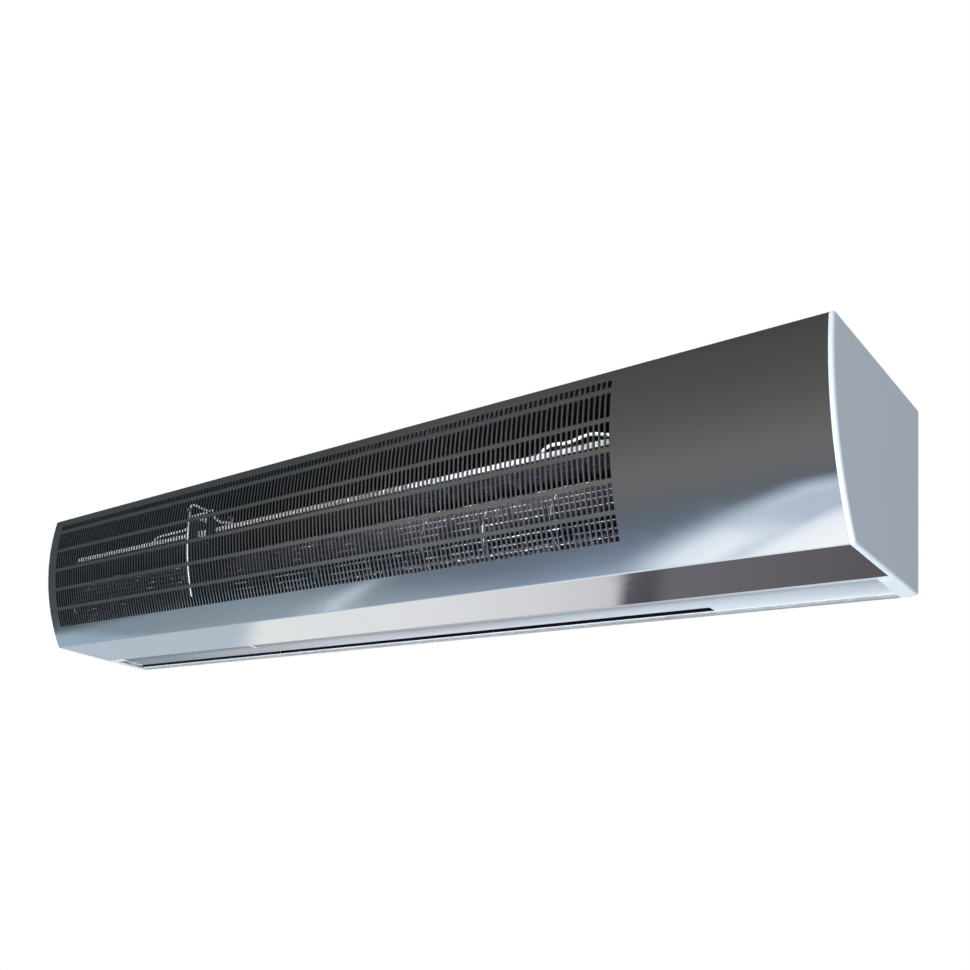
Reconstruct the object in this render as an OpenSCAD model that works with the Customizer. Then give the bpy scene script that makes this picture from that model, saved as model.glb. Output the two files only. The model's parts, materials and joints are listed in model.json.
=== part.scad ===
// Wall-hung air curtain: a folded steel chassis with a polished, perforated front cover,
// two cross-flow impellers driven by one motor between them, a finned heater in the outlet duct,
// and a closed compartment for the electrics at the right-hand end.
// Millimetres. X runs along the unit, -Y is the front, +Z is up. The origin lies on the wall
// plane, at the middle of the four wall screws. Heights in the modules are measured from the
// bottom of the casing, and in_frame() moves them to the origin.

/* [Casing] */
// Overall length over the end caps
body_l = 1510; // [1440:10:1700]
// Height of the casing
body_h = 221; // [216:1:232]
// Depth of the casing from the wall
body_d = 232; // [228:1:245]
// How far the front's lower edge sits back from its upper edge
front_setback = 62.5; // [56:0.5:66]
// Rise of the front's arc over its chord
front_bulge = 18.4; // [14:0.2:22]
// Sheet thickness of the front cover
cover_t = 1.5; // [1:0.1:1.8]
// Sheet thickness of the chassis
sheet_t = 1.5; // [1.2:0.1:1.8]
// Width of the end caps' rim
rim_w = 6.5; // [6:0.5:12]
// Wall thickness of the end caps
cap_wall = 2.5; // [2.2:0.1:3]
// Rounding of the end caps' outer edge
cap_round = 3; // [1:0.1:3.4]
// Depth of the cover's bottom flange
flange_l = 98; // [92:1:102]
// Depth of the cover's return on the top
top_return = 30; // [22:1:40]

/* [Grille] */
// Width of one slot
slot_w = 5.2; // [4:0.1:5.6]
// Distance from slot to slot
slot_pitch = 7.65; // [7.2:0.05:9]
// Length of a slot along the arc
slot_len = 29.3; // [24:0.1:30.5]
// Length of a slot in the short top row
short_len = 9.2; // [6:0.1:10]
// Distance from row to row along the arc
row_pitch = 34.9; // [33.5:0.1:35.5]
// Rows of long slots
row_count = 5; // [3:1:5]
// Arc length from the upper edge to the short row
row_start = 12.8; // [10:0.1:14]
// Distance from the left end to the first slot
grille_margin = 33; // [28:1:45]
// Length of the electrics compartment at the right-hand end
electrics_w = 235; // [233:1:256]

/* [Outlet] */
// Width of the outlet slot
outlet_w = 12.5; // [11:0.5:14]
// Distance from the wall to the outlet slot
outlet_back = 9.5; // [9:0.5:11]
// Height of the raised strip around the outlet
tray_lift = 3; // [2.4:0.1:3.6]

/* [Fan] */
// Outer diameter of the impellers
impeller_d = 96; // [88:1:98]
// Radial depth of the blades
blade_depth = 12; // [9:0.5:14]
// Thickness of a blade
blade_t = 1; // [0.8:0.1:1.4]
// Blades round an impeller
blade_count = 30; // [24:1:34]
// Distance between the impellers' stiffening rings
ring_pitch = 106.5; // [90:0.5:120]
// Distance of the fan axis from the wall
fan_back = 140; // [138:0.5:142]
// Height of the fan axis
fan_height = 84; // [82:0.5:86]
// Gap between the impeller and the scroll
scroll_gap = 10; // [8:0.5:10]
// Thickness of the scroll and tongue sheets
scroll_t = 1.2; // [0.8:0.1:1.4]
// Diameter of the shafts
shaft_d = 8; // [6:0.5:10]
// Running clearance round a shaft, on the radius
shaft_play = 0.03; // [0.02:0.01:0.08]
// Distance from the left end to the middle of the motor
motor_from_left = 461; // [452:1:490]
// Diameter of the motor
motor_d = 86; // [80:1:90]
// Length of the motor over its end bells
motor_l = 31; // [29:1:34]
// Length of the motor bracket over its legs
bracket_l = 48; // [46:1:54]
// Height of the motor bracket's top
bracket_top = 170; // [164:1:176]

/* [Heater] */
// Diameter of the heater tube
heater_d = 8.5; // [7:0.5:9]
// Diameter of the heater's fins
fin_d = 23; // [18:0.5:24]
// Distance from fin to fin
fin_pitch = 20; // [16:1:30]

/* [Wall fixing] */
// Distance between the wall screws along the unit
wall_x = 1200; // [1100:10:1260]
// Distance between the wall screws' rows
wall_z = 40; // [30:1:44]
// Diameter of the wall screws' holes
wall_hole_d = 8.5; // [6.5:0.5:10]
// Height of the casing's top over the middle of the wall screws
mount_drop = 41; // [39:1:45]

/* [Electrics] */
// Diameter of the cable that the gland takes
cable_d = 10; // [8:0.5:11]
// Travel of the reset button
reset_travel = 1.5; // [1:0.1:1.8]
// Outer diameter of the wires
wire_d = 4; // [3:0.2:4.4]

/* [Hidden] */

fit = 0.02;             // radial play of a part seated in another
snug = 0.2;             // gap between sheets that slide together
eps = 1;                // overrun of a cut

// casing
half_l = body_l/2;
mount_z = body_h - mount_drop;          // height of the middle of the wall screws
cover_x = half_l - rim_w;               // half length of the front cover
plate_x = cover_x - sheet_t;            // inner face of the chassis end plates
chord = sqrt(front_setback*front_setback + body_h*body_h);
arc_r = chord*chord/(8*front_bulge) + front_bulge/2;
arc_c = [-body_d + front_setback/2, body_h/2] + (arc_r - front_bulge)/chord*[body_h, front_setback];
edge_a = asin((body_h - arc_c[1])/arc_r);   // angle of the arc's upper corner
top_z = body_h - cover_t - sheet_t;     // underside of the top panel
flange_rear = -body_d + front_setback + flange_l;   // rear edge of the cover's flange
step_y = flange_rear + 11;              // where the tray steps up
tray_z = tray_lift + sheet_t;           // upper face of the raised strip
lap_z = cover_t + sheet_t;              // upper face of the tray's front part
hem_d = 6;                              // depth of the back panel's bottom hem
lip_h = 14;                             // height of the chassis flanges
cap_flange = 20;                        // width of the caps' bottom flange
clear_y = 5;                            // gap from the bulkheads to the cover

// fan
fan_x1 = half_l - rim_w - electrics_w - sheet_t;   // inner face of the fan plate
fan_c = [-fan_back, fan_height];
motor_x = -half_l + motor_from_left;
leg_t = 2;
leg_a = motor_x - bracket_l/2;          // outer face of the bracket's left leg
leg_b = motor_x + bracket_l/2;          // outer face of its right leg
shaft_r = shaft_d/2;
imp_r = impeller_d/2;
hub_r = 11;
hub_l = 20;
disc_t = 2;
hub_screw_r = 1.5;
left_a = -half_l + 53;                  // left impeller, outer end
left_b = leg_a - 45;                    // and motor end
right_a = leg_b + 17;                   // right impeller, motor end
right_b = fan_x1 - 14;                  // and outer end
bearing_l = 9;
bearing_r = shaft_r + 4;
seat_r = 15;
carrier_r = 18;
carrier_flange = 30;
carrier_left_l = left_a - 10 + plate_x; // length of the left bearing carrier
scroll_r = imp_r + scroll_gap;
outlet_edge = [-outlet_back, tray_z];   // rear edge of the duct's mouth
duct_d = norm(outlet_edge - fan_c);
duct_a = atan2(outlet_edge[1] - fan_c[1], outlet_edge[0] - fan_c[0]) + acos(scroll_r/duct_d);
duct_l = sqrt(duct_d*duct_d - scroll_r*scroll_r);
strip_z = fan_height + scroll_r;        // underside of the scroll's top
strip_y = -207;                         // front face of the scroll's lip
strip_d = 20;                           // depth of the bracket's strip behind its lip
lip_up = 6.8;                           // lip above that sheet
lip_down = 1;                           // and below it
nose_r = 3;
nose_a = -80;
nose = fan_c + (imp_r + 5 + nose_r)*[cos(nose_a), sin(nose_a)];
tongue_foot = nose[0] - 5;
foot_l = 13;                            // foot of the tongue behind the mouth

// heater: two legs joined by a bend at the left
leg_1 = fan_c + [68, -32];               // upper leg, behind and below the fan's axis
leg_2 = fan_c + [84, -54];               // lower leg
leg_gap = norm(leg_1 - leg_2);
leg_tilt = atan2(leg_1[1] - leg_2[1], leg_1[0] - leg_2[0]);
heater_a = -plate_x + 30;               // start of the bend
heater_b = fan_x1 + 22;                 // ends of the legs
heater_r = heater_d/2;
tube_hole_r = heater_r + 0.3;

// electrics
rear_y = -sheet_t;                      // front face of the back panel
board_gap = 18;                         // from the fan plate to the board
board_x = fan_x1 + board_gap;
board_w = 110;
board_z = 66;
board_h = 74;
e_plate_y = -14;                        // front face of the electrics plate
e_plate_z = [20, 146];
post_l = 8;
post_in = 6;                            // posts from the board's edges
board_t = 1.6;
relay = [19, 16, 24];
relay_pitch = 24;
relay_at = [12, 44];
transformer = [22, 26, 32];
transformer_at = [84, 30];
board_y = e_plate_y - post_l - board_t; // front face of the board
cut_c = [-90, 112];                     // middle of the cut-out on the fan plate
grommet_c = [-172, 165];
grommet_r = 9;
gland_p = [fan_x1 + 129, -60];
gland_r = 10;
wire_r = wire_d/2;
block_p = [fan_x1 + 133, e_plate_y, 96];
block_s = [78, 20, 24];
pole_pitch = 11.2;
function pole_x(k) = block_p[0] + 11 + k*pole_pitch;
plug_x = [board_x + 40, board_x + 66];  // wire connectors on the board
plug_z = board_z + 9;
plug_d = 12;
plug_w = 16;
plug_h = 10;

// routes of the wires: round points, along the strip and over the motor bracket
wire_z = strip_z + scroll_t + wire_r + 0.4;
thermostat_x = -half_l + 55;
thermostat_y = -186;
pair = wire_r + 0.6;
thermostat_route = [
  [thermostat_x + 11, thermostat_y, strip_z + scroll_t + 6], [thermostat_x + 22, thermostat_y, wire_z + 3],
  [thermostat_x + 60, -194, wire_z], [thermostat_x + 160, -196, wire_z],
  [leg_a - 160, -197, wire_z + 1], [leg_a - 119, -205, wire_z + 11], [leg_a - 70, -210, wire_z + 10],
  [leg_a - 20, -216, wire_z + 8], [leg_a - 12, -219, bracket_top - 5], [leg_a - 12, -220, bracket_top + 6],
  [leg_a - 16, -221, bracket_top + 15], [leg_a - 10, -221, bracket_top + 21],
  [leg_a - 1, -220, bracket_top + 20], [leg_a + 11, -219, bracket_top + 15],
  [leg_b - 22, -218, bracket_top + 9], [leg_b - 8, -218, bracket_top + 5],
  [leg_b + 3, -219, bracket_top + 3.5], [leg_b + 8, -219, bracket_top - 6],
  [leg_b + 14, -212, wire_z + 11], [leg_b + 30, -202, wire_z + 9], [leg_b + 60, -197, wire_z + 1],
  [leg_b + 110, -196, wire_z],
  [0, -196, wire_z], [fan_x1 - 220, -196, wire_z], [fan_x1 - 156, -196, wire_z + 5],
  [fan_x1 - 133, -196, wire_z + 19], [fan_x1 - 105, -195, wire_z + 18.5],
  [fan_x1 - 87, -194, wire_z + 22], [fan_x1 - 72, -193, wire_z + 24], [fan_x1 - 54, -190, wire_z + 21],
  [fan_x1 - 32, -180, wire_z + 19.4], [fan_x1 - 14, grommet_c[0] - pair, grommet_c[1]],
  [fan_x1 + 14, grommet_c[0] - pair, grommet_c[1]], [fan_x1 + 60, -150, 152],
  [fan_x1 + 88, -95, 112], [plug_x[1], board_y - 34, plug_z], [plug_x[1], board_y - 24, plug_z],
  [plug_x[1], board_y - plug_d - 0.3, plug_z]
];
motor_route = [
  [motor_x, -fan_back, fan_height + motor_d/2 + 0.4], [motor_x, -fan_back - 4, 139],
  [motor_x, -160, bracket_top - 24], [motor_x, -174, bracket_top - 16], [motor_x, -178, bracket_top - 4],
  [motor_x + 3, -179, bracket_top + 4], [motor_x + 12, -180, bracket_top + 8],
  [leg_b - 4, -182, bracket_top + 7], [leg_b + 4, -184, bracket_top + 1],
  [leg_b + 8, -186, bracket_top - 10], [leg_b + 12, -187, wire_z + 5],
  [leg_b + 24, -188, wire_z + 1], [leg_b + 90, -188, wire_z], [0, -188, wire_z],
  [fan_x1 - 220, -188, wire_z], [fan_x1 - 120, -186, wire_z + 3], [fan_x1 - 60, -178, wire_z + 12],
  [fan_x1 - 14, grommet_c[0] + pair, grommet_c[1]], [fan_x1 + 14, grommet_c[0] + pair, grommet_c[1]],
  [fan_x1 + 40, -140, 156], [fan_x1 + 60, -90, 120], [plug_x[0], board_y - 34, plug_z],
  [plug_x[0], board_y - 24, plug_z], [plug_x[0], board_y - plug_d - 0.3, plug_z]
];
heater_route_1 = [
  [heater_b + 9.3, leg_1[0], leg_1[1]], [heater_b + 14, leg_1[0], leg_1[1]],
  [heater_b + 20, leg_1[0], leg_1[1]], [heater_b + 60, -76, 60], [pole_x(0) - 10, -74, 62],
  [pole_x(0), -56, 76], [pole_x(0), block_p[1] - 14, 84], [pole_x(0), block_p[1] - 10, 88],
  [pole_x(0), block_p[1] - 10, 92], [pole_x(0), block_p[1] - 10, block_p[2] - 0.3]
];
heater_route_2 = [
  [heater_b + 9.3, leg_2[0], leg_2[1]], [heater_b + 14, leg_2[0], leg_2[1]],
  [heater_b + 20, leg_2[0], leg_2[1]], [heater_b + 70, -60, 36], [pole_x(2) - 16, -62, 42],
  [pole_x(2), -58, 66], [pole_x(2), block_p[1] - 14, 84], [pole_x(2), block_p[1] - 10, 88],
  [pole_x(2), block_p[1] - 10, 92], [pole_x(2), block_p[1] - 10, block_p[2] - 0.3]
];

// ---------------------------------------------------------------- shared shapes

// heights in the modules are over the casing's bottom
module in_frame() {
  translate([0, 0, -mount_z]) children();
}

// a section drawn in (Y, Z), carried along X from x0 to x1
module along_x(x0, x1) {
  translate([x0, 0, 0]) rotate([90, 0, 90]) linear_extrude(x1 - x0) children();
}

// a rod along X through the section's point p
module rod(x0, x1, r, p = fan_c, fn = 64) {
  translate([x0, p[0], p[1]]) rotate([0, 90, 0]) cylinder(r = r, h = x1 - x0, $fn = fn);
}

// a box from corner to corner
module block(a, b) {
  translate(a) cube(b - a);
}

// the casing's section, drawn in by inset
module casing_section(inset = 0) {
  intersection() {
    translate(arc_c) circle(r = arc_r - inset, $fn = 360);
    translate([-body_d - 30, inset]) square([body_d + 30 - inset, body_h - 2*inset]);
  }
}

// the section above the tray and below the top panel, up to the cover
module inner_section(gap, rear = -2*sheet_t) {
  difference() {
    intersection() {
      translate(arc_c) circle(r = arc_r - cover_t - gap, $fn = 360);
      translate([-body_d - 30, lap_z]) square([body_d + 30 + rear, top_z - lap_z]);
    }
    translate([step_y - sheet_t, 0]) square([body_d, tray_z]);
    translate([-2*body_d, top_z - lip_h - snug])
      square([body_d + cover_t + clear_y + sheet_t + snug, body_h]);
  }
}

// a bar of a sheet's section from p to q, its thickness to the left of that line
module bar(p, q, t = scroll_t) {
  translate(p) rotate(atan2(q[1] - p[1], q[0] - p[0])) square([norm(q - p), t]);
}

// a pan-head screw along -Z with its head's underside at the origin
module pan_screw(r, l, head_r, head_h) {
  translate([0, 0, -l]) cylinder(r = r, h = l, $fn = 32);
  difference() {
    cylinder(r1 = head_r, r2 = head_r*0.75, h = head_h, $fn = 32);
    for (a = [0, 90]) rotate(a) translate([-head_r*0.5, -0.4, head_h*0.5])
      cube([head_r, 0.8, head_h]);
  }
}

// Catmull-Rom curve through the points, n steps a span
function unit(v) = v/norm(v);
function span_at(a, b, c, d, t) =
  0.5*(2*b + (c - a)*t + (2*a - 5*b + 4*c - d)*t*t + (3*b - a - 3*c + d)*t*t*t);
function curve(p, n) = [
  for (i = [0:len(p) - 2]) for (j = [0:n - 1])
    span_at(p[max(i - 1, 0)], p[i], p[i + 1], p[min(i + 2, len(p) - 1)], j/n),
  p[len(p) - 1]
];
function tangent(p, i) = unit(p[min(i + 1, len(p) - 1)] - p[max(i - 1, 0)]);
function flatten_to(v, t) = unit(v - (v*t)*t);
// each ring's side direction is the last one's, turned square to the new tangent
function sides_of(p, v, i = 0) =
  i == len(p) ? [] :
  let (s = flatten_to(v, tangent(p, i))) concat([s], sides_of(p, s, i + 1));

// a tube of radius r along the points p
module wire_tube(p, r, n = 8) {
  side = sides_of(p, [0.1, 0.2, 1]);
  rings = len(p);
  points = [for (i = [0:rings - 1]) for (k = [0:n - 1])
    let (t = tangent(p, i), u = side[i], w = cross(t, u), a = 360*k/n)
      p[i] + r*(cos(a)*u + sin(a)*w)];
  faces = [
    [for (k = [0:n - 1]) k],
    for (i = [0:rings - 2]) for (k = [0:n - 1])
      [i*n + k, (i + 1)*n + k, (i + 1)*n + (k + 1) % n, i*n + (k + 1) % n],
    [for (k = [n - 1:-1:0]) (rings - 1)*n + k]
  ];
  polyhedron(points, faces, convexity = 10);
}

// ---------------------------------------------------------------- chassis

module back_panel() {
  color("gainsboro") in_frame() difference() {
    union() {
      block([-plate_x, -sheet_t, tray_lift], [plate_x, 0, top_z]);
      block([-half_l + cap_flange + snug, -hem_d, 0], [half_l - cap_flange - snug, 0, tray_lift]);
    }
    for (x = [-wall_x/2, wall_x/2], z = [mount_z - wall_z/2, mount_z + wall_z/2])
      translate([x, eps, z]) rotate([90, 0, 0]) cylinder(d = wall_hole_d, h = sheet_t + 2*eps, $fn = 48);
  }
}

// folded down at the front and at the rear
module top_panel() {
  front = -body_d + cover_t + clear_y;
  color("gainsboro") in_frame() difference() {
    union() {
      block([-cover_x, front, top_z], [cover_x, 0, top_z + sheet_t]);
      block([-plate_x, front, top_z - lip_h], [plate_x, front + sheet_t, top_z]);
      block([-plate_x, -2*sheet_t, top_z - lip_h], [plate_x, -sheet_t, top_z]);
    }
    for (x = cover_screw_x) translate([x, cover_screw_y, top_z - eps])
      cylinder(r = cover_screw_r + fit, h = sheet_t + 2*eps, $fn = 32);
    translate([gland_p[0], gland_p[1], top_z - eps])
      cylinder(r = gland_r + fit, h = sheet_t + 2*eps, $fn = 64);
  }
}

// laps over the cover's flange, steps up, and carries the outlet slot, with a notch at its left end
notch_x = -half_l + cap_flange + 1;     // left edge of the notch
notch_w = 21;
notch_y = step_y + 8.5;                 // its front edge
notch_l = 15;
module bottom_tray() {
  color("lightsteelblue") in_frame() difference() {
    union() {
      block([-plate_x, tongue_foot - 11, cover_t], [plate_x, step_y, lap_z]);
      block([-plate_x, step_y - sheet_t, cover_t], [plate_x, step_y, tray_z]);
      block([-plate_x, step_y - sheet_t, tray_lift], [plate_x, -sheet_t, tray_z]);
      block([-plate_x, -2*sheet_t, tray_lift], [plate_x, -sheet_t, tray_z + lip_h]);
    }
    block([-plate_x + 3, -outlet_back - outlet_w, -eps], [fan_x1 - eps, -outlet_back, tray_z + eps]);
    block([notch_x, notch_y, -eps], [notch_x + notch_w, notch_y + notch_l, tray_z + eps]);
  }
}

// a bulkhead's outline stands on the tray, with a folded foot
plate_foot = 10;        // width of that foot
module end_plate(side) {
  color("gainsboro") in_frame() difference() {
    union() {
      intersection() {
        along_x(min(side*plate_x, side*cover_x), max(side*plate_x, side*cover_x)) inner_section(snug, 0);
        block([-body_l, -body_d - 30, lap_z], [body_l, 0, top_z]);
      }
      block([min(side*cover_x, side*(plate_x - plate_foot)), step_y + 2, tray_z],
            [max(side*cover_x, side*(plate_x - plate_foot)), -outlet_back - outlet_w - foot_l - 1,
             tray_z + sheet_t]);
    }
    for (p = cap_points) translate([side*(plate_x - eps), p[0], p[1]]) rotate([0, side*90, 0])
      cylinder(r = cap_screw_r + fit, h = sheet_t + 2*eps, $fn = 32);
    if (side < 0) {
      rod(-cover_x - eps, -plate_x + eps, seat_r);
      for (a = carrier_angles)
        rod(-cover_x - eps, -plate_x + eps, carrier_screw_r + fit, carrier_point(a), 32);
    }
  }
}
module left_end_plate() { end_plate(-1); }
module right_end_plate() { end_plate(1); }

// closes the fan section off from the electrics
module fan_plate() {
  color("gainsboro") in_frame() difference() {
    union() {
      along_x(fan_x1, fan_x1 + sheet_t) inner_section(1);
      block([fan_x1, step_y + 2, tray_z], [fan_x1 + 12, -hem_d, tray_z + sheet_t]);
    }
    rod(fan_x1 - eps, fan_x1 + sheet_t + eps, seat_r);
    for (a = carrier_angles)
      rod(fan_x1 - eps, fan_x1 + sheet_t + eps, carrier_screw_r + fit, carrier_point(a), 32);
    for (p = [leg_1, leg_2]) rod(fan_x1 - eps, fan_x1 + sheet_t + eps, tube_hole_r, p);
    rod(fan_x1 - eps, fan_x1 + sheet_t + eps, grommet_r, grommet_c);
    for (s = [-1, 1]) rod(fan_x1 - eps, fan_x1 + sheet_t + eps, 1.6, cut_c + [s*12, 0], 32);
  }
}

// ---------------------------------------------------------------- front cover

cover_screw_r = 2;
cover_screw_y = -body_d + top_return/2 + 4;
cover_screw_x = [for (k = [-2:2]) k*(body_l/5)];
slot_first = -half_l + grille_margin;
short_gap = 6.1;        // arc length from the short row to the first long row
grille_end = 18;        // from the fan plate back to the last slot
slot_count = floor((fan_x1 - grille_end - slot_first - slot_w)/slot_pitch) + 1;

// one row of slots, its top at arc_top from the upper edge, measured along the arc
module slot_row(arc_top, l) {
  mid_a = (arc_top + l/2)/arc_r*180/PI - edge_a;
  translate([0, arc_c[0], arc_c[1]]) rotate([mid_a, 0, 0])
    for (i = [0:slot_count - 1])
      translate([slot_first + i*slot_pitch, -arc_r - 3*cover_t, -l/2]) cube([slot_w, 6*cover_t, l]);
}

// one sheet: top return, arc and bottom flange, pierced by the grille
module front_cover() {
  color("silver") in_frame() difference() {
    along_x(-cover_x, cover_x) difference() {
      casing_section(0);
      casing_section(cover_t);
      translate([flange_rear, -eps]) square([body_d, body_h/2 + 2*eps]);
      translate([-body_d + top_return, body_h/2]) square([body_d, body_h]);
    }
    slot_row(row_start, short_len);
    for (r = [0:row_count - 1]) slot_row(row_start + short_len + short_gap + r*row_pitch, slot_len);
    for (x = cover_screw_x) translate([x, cover_screw_y, top_z])
      cylinder(r = cover_screw_r + fit, h = body_h, $fn = 32);
  }
}

module cover_screws() {
  color("silver") in_frame() for (x = cover_screw_x)
    translate([x, cover_screw_y, body_h]) pan_screw(cover_screw_r, 8, 3.8, 1.8);
}

// white clips at the rear edge of the cover's flange and round the notch
clip_t = 1.2;           // thickness of a clip's tongue
clip_drop = 2.6;        // its depth under the raised strip
clip_w = 6;
module flange_clip(x0, x1) {
  block([x0, flange_rear + 0.3, cover_t - clip_t], [x1, step_y - 0.4 - sheet_t, cover_t]);
}
module strip_clip(x0, x1, rear) {
  block([x0, step_y + 0.3, tray_lift - clip_drop], [x1, rear, tray_lift]);
}
module cover_clips() {
  color("white") in_frame() {
    flange_clip(notch_x, notch_x + notch_w + 2*clip_w);
    strip_clip(notch_x + notch_w + 0.5, notch_x + notch_w + 0.5 + clip_w/2,
      -outlet_back - outlet_w - clip_w/2);
    flange_clip(leg_a - clip_w/2, leg_a + clip_w/2);
    strip_clip(leg_a - clip_w/2, leg_a + clip_w/2, step_y + clip_w/2);
  }
}

// ---------------------------------------------------------------- end caps

cap_screw_r = 2;
cap_screw_l = sheet_t + rim_w - cap_wall - 0.5;
cap_points = [[-body_d + 44, body_h - 30], [-34, body_h - 30], [-18, 34], [-body_d + 84, 30]];
boss_r = 4.5;

// the casing's section as a solid along X, with its outer edge rounded; grow draws it in
module cap_body(inset) {
  face = half_l - inset;
  rad = max(cap_round - inset, 0.01);
  inner = cover_x - eps;
  intersection() {
    // round the arc
    translate([0, arc_c[0], arc_c[1]]) rotate([0, 90, 0]) rotate_extrude($fn = 360) union() {
      square([arc_r - inset - rad, face]);
      square([arc_r - inset, face - rad]);
      translate([arc_r - inset - rad, face - rad]) circle(r = rad, $fn = 48);
    }
    // round the top and the bottom
    translate([0, -inset, 0]) rotate([90, 0, 0]) linear_extrude(body_d + 30) union() {
      translate([inner, inset]) square([face - rad - inner, body_h - 2*inset]);
      translate([inner, inset + rad]) square([face - inner, body_h - 2*(inset + rad)]);
      for (z = [inset + rad, body_h - inset - rad])
        translate([face - rad, z]) circle(r = rad, $fn = 48);
    }
  }
}

// a moulded tray with four screw bosses and a flange under the chassis
module end_cap() {
  difference() {
    intersection() {
      cap_body(0);
      block([cover_x, -body_d - 30, -eps], [half_l + eps, 0, body_h + eps]);
    }
    difference() {
      cap_body(cap_wall);
      for (p = cap_points) rod(cover_x - 2*eps, half_l, boss_r, p, 48);
    }
    for (p = cap_points) rod(cover_x - eps, half_l - cap_wall, cap_screw_r + fit, p, 32);
  }
  block([half_l - cap_flange, flange_rear + snug, 0], [cover_x, step_y - sheet_t - snug, cover_t]);
  block([half_l - cap_flange, step_y - sheet_t - snug, 0], [cover_x, step_y + snug, cover_t]);
  block([half_l - cap_flange, step_y + snug, 0], [cover_x, -snug, tray_lift]);
}
module left_end_cap() { color("white") in_frame() mirror([1, 0, 0]) end_cap(); }
module right_end_cap() { color("white") in_frame() end_cap(); }

module cap_screws() {
  color("silver") in_frame() for (side = [-1, 1], p = cap_points)
    translate([side*plate_x, p[0], p[1]]) rotate([0, -side*90, 0])
      pan_screw(cap_screw_r, cap_screw_l, 3.6, 2);
}

// ---------------------------------------------------------------- air path

// scroll: lip, flat top, arc round the impeller, straight rear wall and foot, as one bent sheet
scroll_steps = 45;      // flats round the arc
scroll_foot = outlet_back - 2*sheet_t - 3;
function scroll_arc(r) =
  [for (i = [0:scroll_steps]) let (a = 90 + (duct_a - 90)*i/scroll_steps) fan_c + r*[cos(a), sin(a)]];
module scroll_section() {
  out = [cos(duct_a), sin(duct_a)];       // square to the rear wall, away from the fan
  down = [sin(duct_a), -cos(duct_a)];     // along that wall
  bend = outlet_edge + scroll_t*out + scroll_t*(out[1] - 1)/-down[1]*down;
  polygon(concat(
    [[strip_y + scroll_t/2, strip_z]], scroll_arc(scroll_r),
    [outlet_edge, outlet_edge + [scroll_foot, 0], outlet_edge + [scroll_foot, scroll_t], bend],
    [for (i = [scroll_steps:-1:0]) scroll_arc(scroll_r + scroll_t)[i]],
    [[strip_y + scroll_t/2, strip_z + scroll_t]]
  ));
  translate([strip_y, strip_z - lip_down]) square([scroll_t, lip_down + scroll_t + lip_up]);
}
module scroll(x0, x1, lip_cut) {
  color("gainsboro") in_frame() difference() {
    along_x(x0, x1) scroll_section();
    block([x0 - eps, strip_y - eps, strip_z - lip_down - eps],
      [x0 + lip_cut, strip_y + 12, strip_z + scroll_t + lip_up + eps]);
  }
}
module scroll_left() { scroll(-plate_x, leg_a, 57); }
module scroll_right() { scroll(leg_b, fan_x1, 2); }

// tongue: from the outlet's front edge up to the nose under the impeller, and down to the tray
module tongue_section() {
  mouth = [-outlet_back - outlet_w, tray_z];
  front = [tongue_foot, lap_z];
  bar(nose, mouth);
  bar(front, nose);
  translate(nose) circle(r = nose_r, $fn = 48);
  translate([mouth[0] - foot_l, tray_z]) square([foot_l - 0.5, scroll_t]);
  translate([tongue_foot - 9, lap_z]) square([10, scroll_t]);
}
module tongue(x0, x1) {
  color("gainsboro") in_frame() along_x(x0, x1) intersection() {
    tongue_section();
    union() {
      translate([-body_d, lap_z]) square([body_d + step_y - sheet_t, body_h]);
      translate([step_y - sheet_t, tray_z]) square([body_d, body_h]);
    }
  }
}
module tongue_left() { tongue(-plate_x, leg_a); }
module tongue_right() { tongue(leg_b, fan_x1); }

// ---------------------------------------------------------------- motor

ring_in = 20;          // radius of the motor's hubs
ring_groove = 22;
ring_out = 26;
ring_l = 6;

// an upturned U: two legs that close the scrolls' ends, and a web over the motor
module motor_bracket() {
  web_rear = -150;
  color("gainsboro") in_frame() difference() {
    union() {
      for (x = [leg_a, leg_b - leg_t]) along_x(x, x + leg_t) difference() {
        inner_section(clear_y - cover_t);
        translate([-2*body_d, bracket_top]) square([3*body_d, body_h]);
        translate([web_rear, strip_z + scroll_t]) square([body_d, body_h]);
      }
      intersection() {
        block([leg_a, -body_d, bracket_top - leg_t], [leg_b, web_rear, bracket_top]);
        along_x(leg_a, leg_b) inner_section(clear_y - cover_t);
      }
      // folded front edge of the left leg
      along_x(leg_a - 6, leg_a + leg_t) intersection() {
        difference() {
          inner_section(clear_y - cover_t);
          inner_section(clear_y - cover_t + leg_t);
        }
        translate([-2*body_d, 48]) square([3*body_d, 102]);
      }
      // strip and lip between the legs, in line with the scrolls'
      block([leg_a, strip_y, strip_z], [leg_b, strip_y + strip_d, strip_z + scroll_t]);
      block([leg_a, strip_y, strip_z - lip_down],
        [leg_b, strip_y + scroll_t, strip_z + scroll_t + lip_up]);
    }
    rod(leg_a - eps, leg_b + eps, ring_groove + fit);
    for (p = [leg_1, leg_2]) rod(leg_a - eps, leg_b + eps, tube_hole_r, p);
    translate([motor_x, -178, bracket_top - 2*leg_t]) cylinder(r = 2*wire_r, h = 3*leg_t, $fn = 32);
    for (x = [leg_a, leg_b - leg_t])
      block([x - eps, -outlet_back - outlet_w + 1, 0], [x + leg_t + eps, -outlet_back - 1, tray_z + 6]);
  }
}

stator_l = motor_l*0.6;
core_r = 23;            // the shaft's magnet inside the stator
module motor_stator() {
  color("dimgray") in_frame() difference() {
    rod(motor_x - stator_l/2, motor_x + stator_l/2, motor_d/2, fan_c, 96);
    rod(motor_x - stator_l, motor_x + stator_l, core_r + 1);
    for (k = [0:11]) rotate_about(fan_c, k*30 + 15)
      translate([motor_x - stator_l, fan_c[0] + motor_d/2 - 1.2, fan_c[1] - 2]) cube([2*stator_l, 3, 4]);
  }
}
module rotate_about(p, a) {
  translate([0, p[0], p[1]]) rotate([a, 0, 0]) translate([0, -p[0], -p[1]]) children();
}

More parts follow.
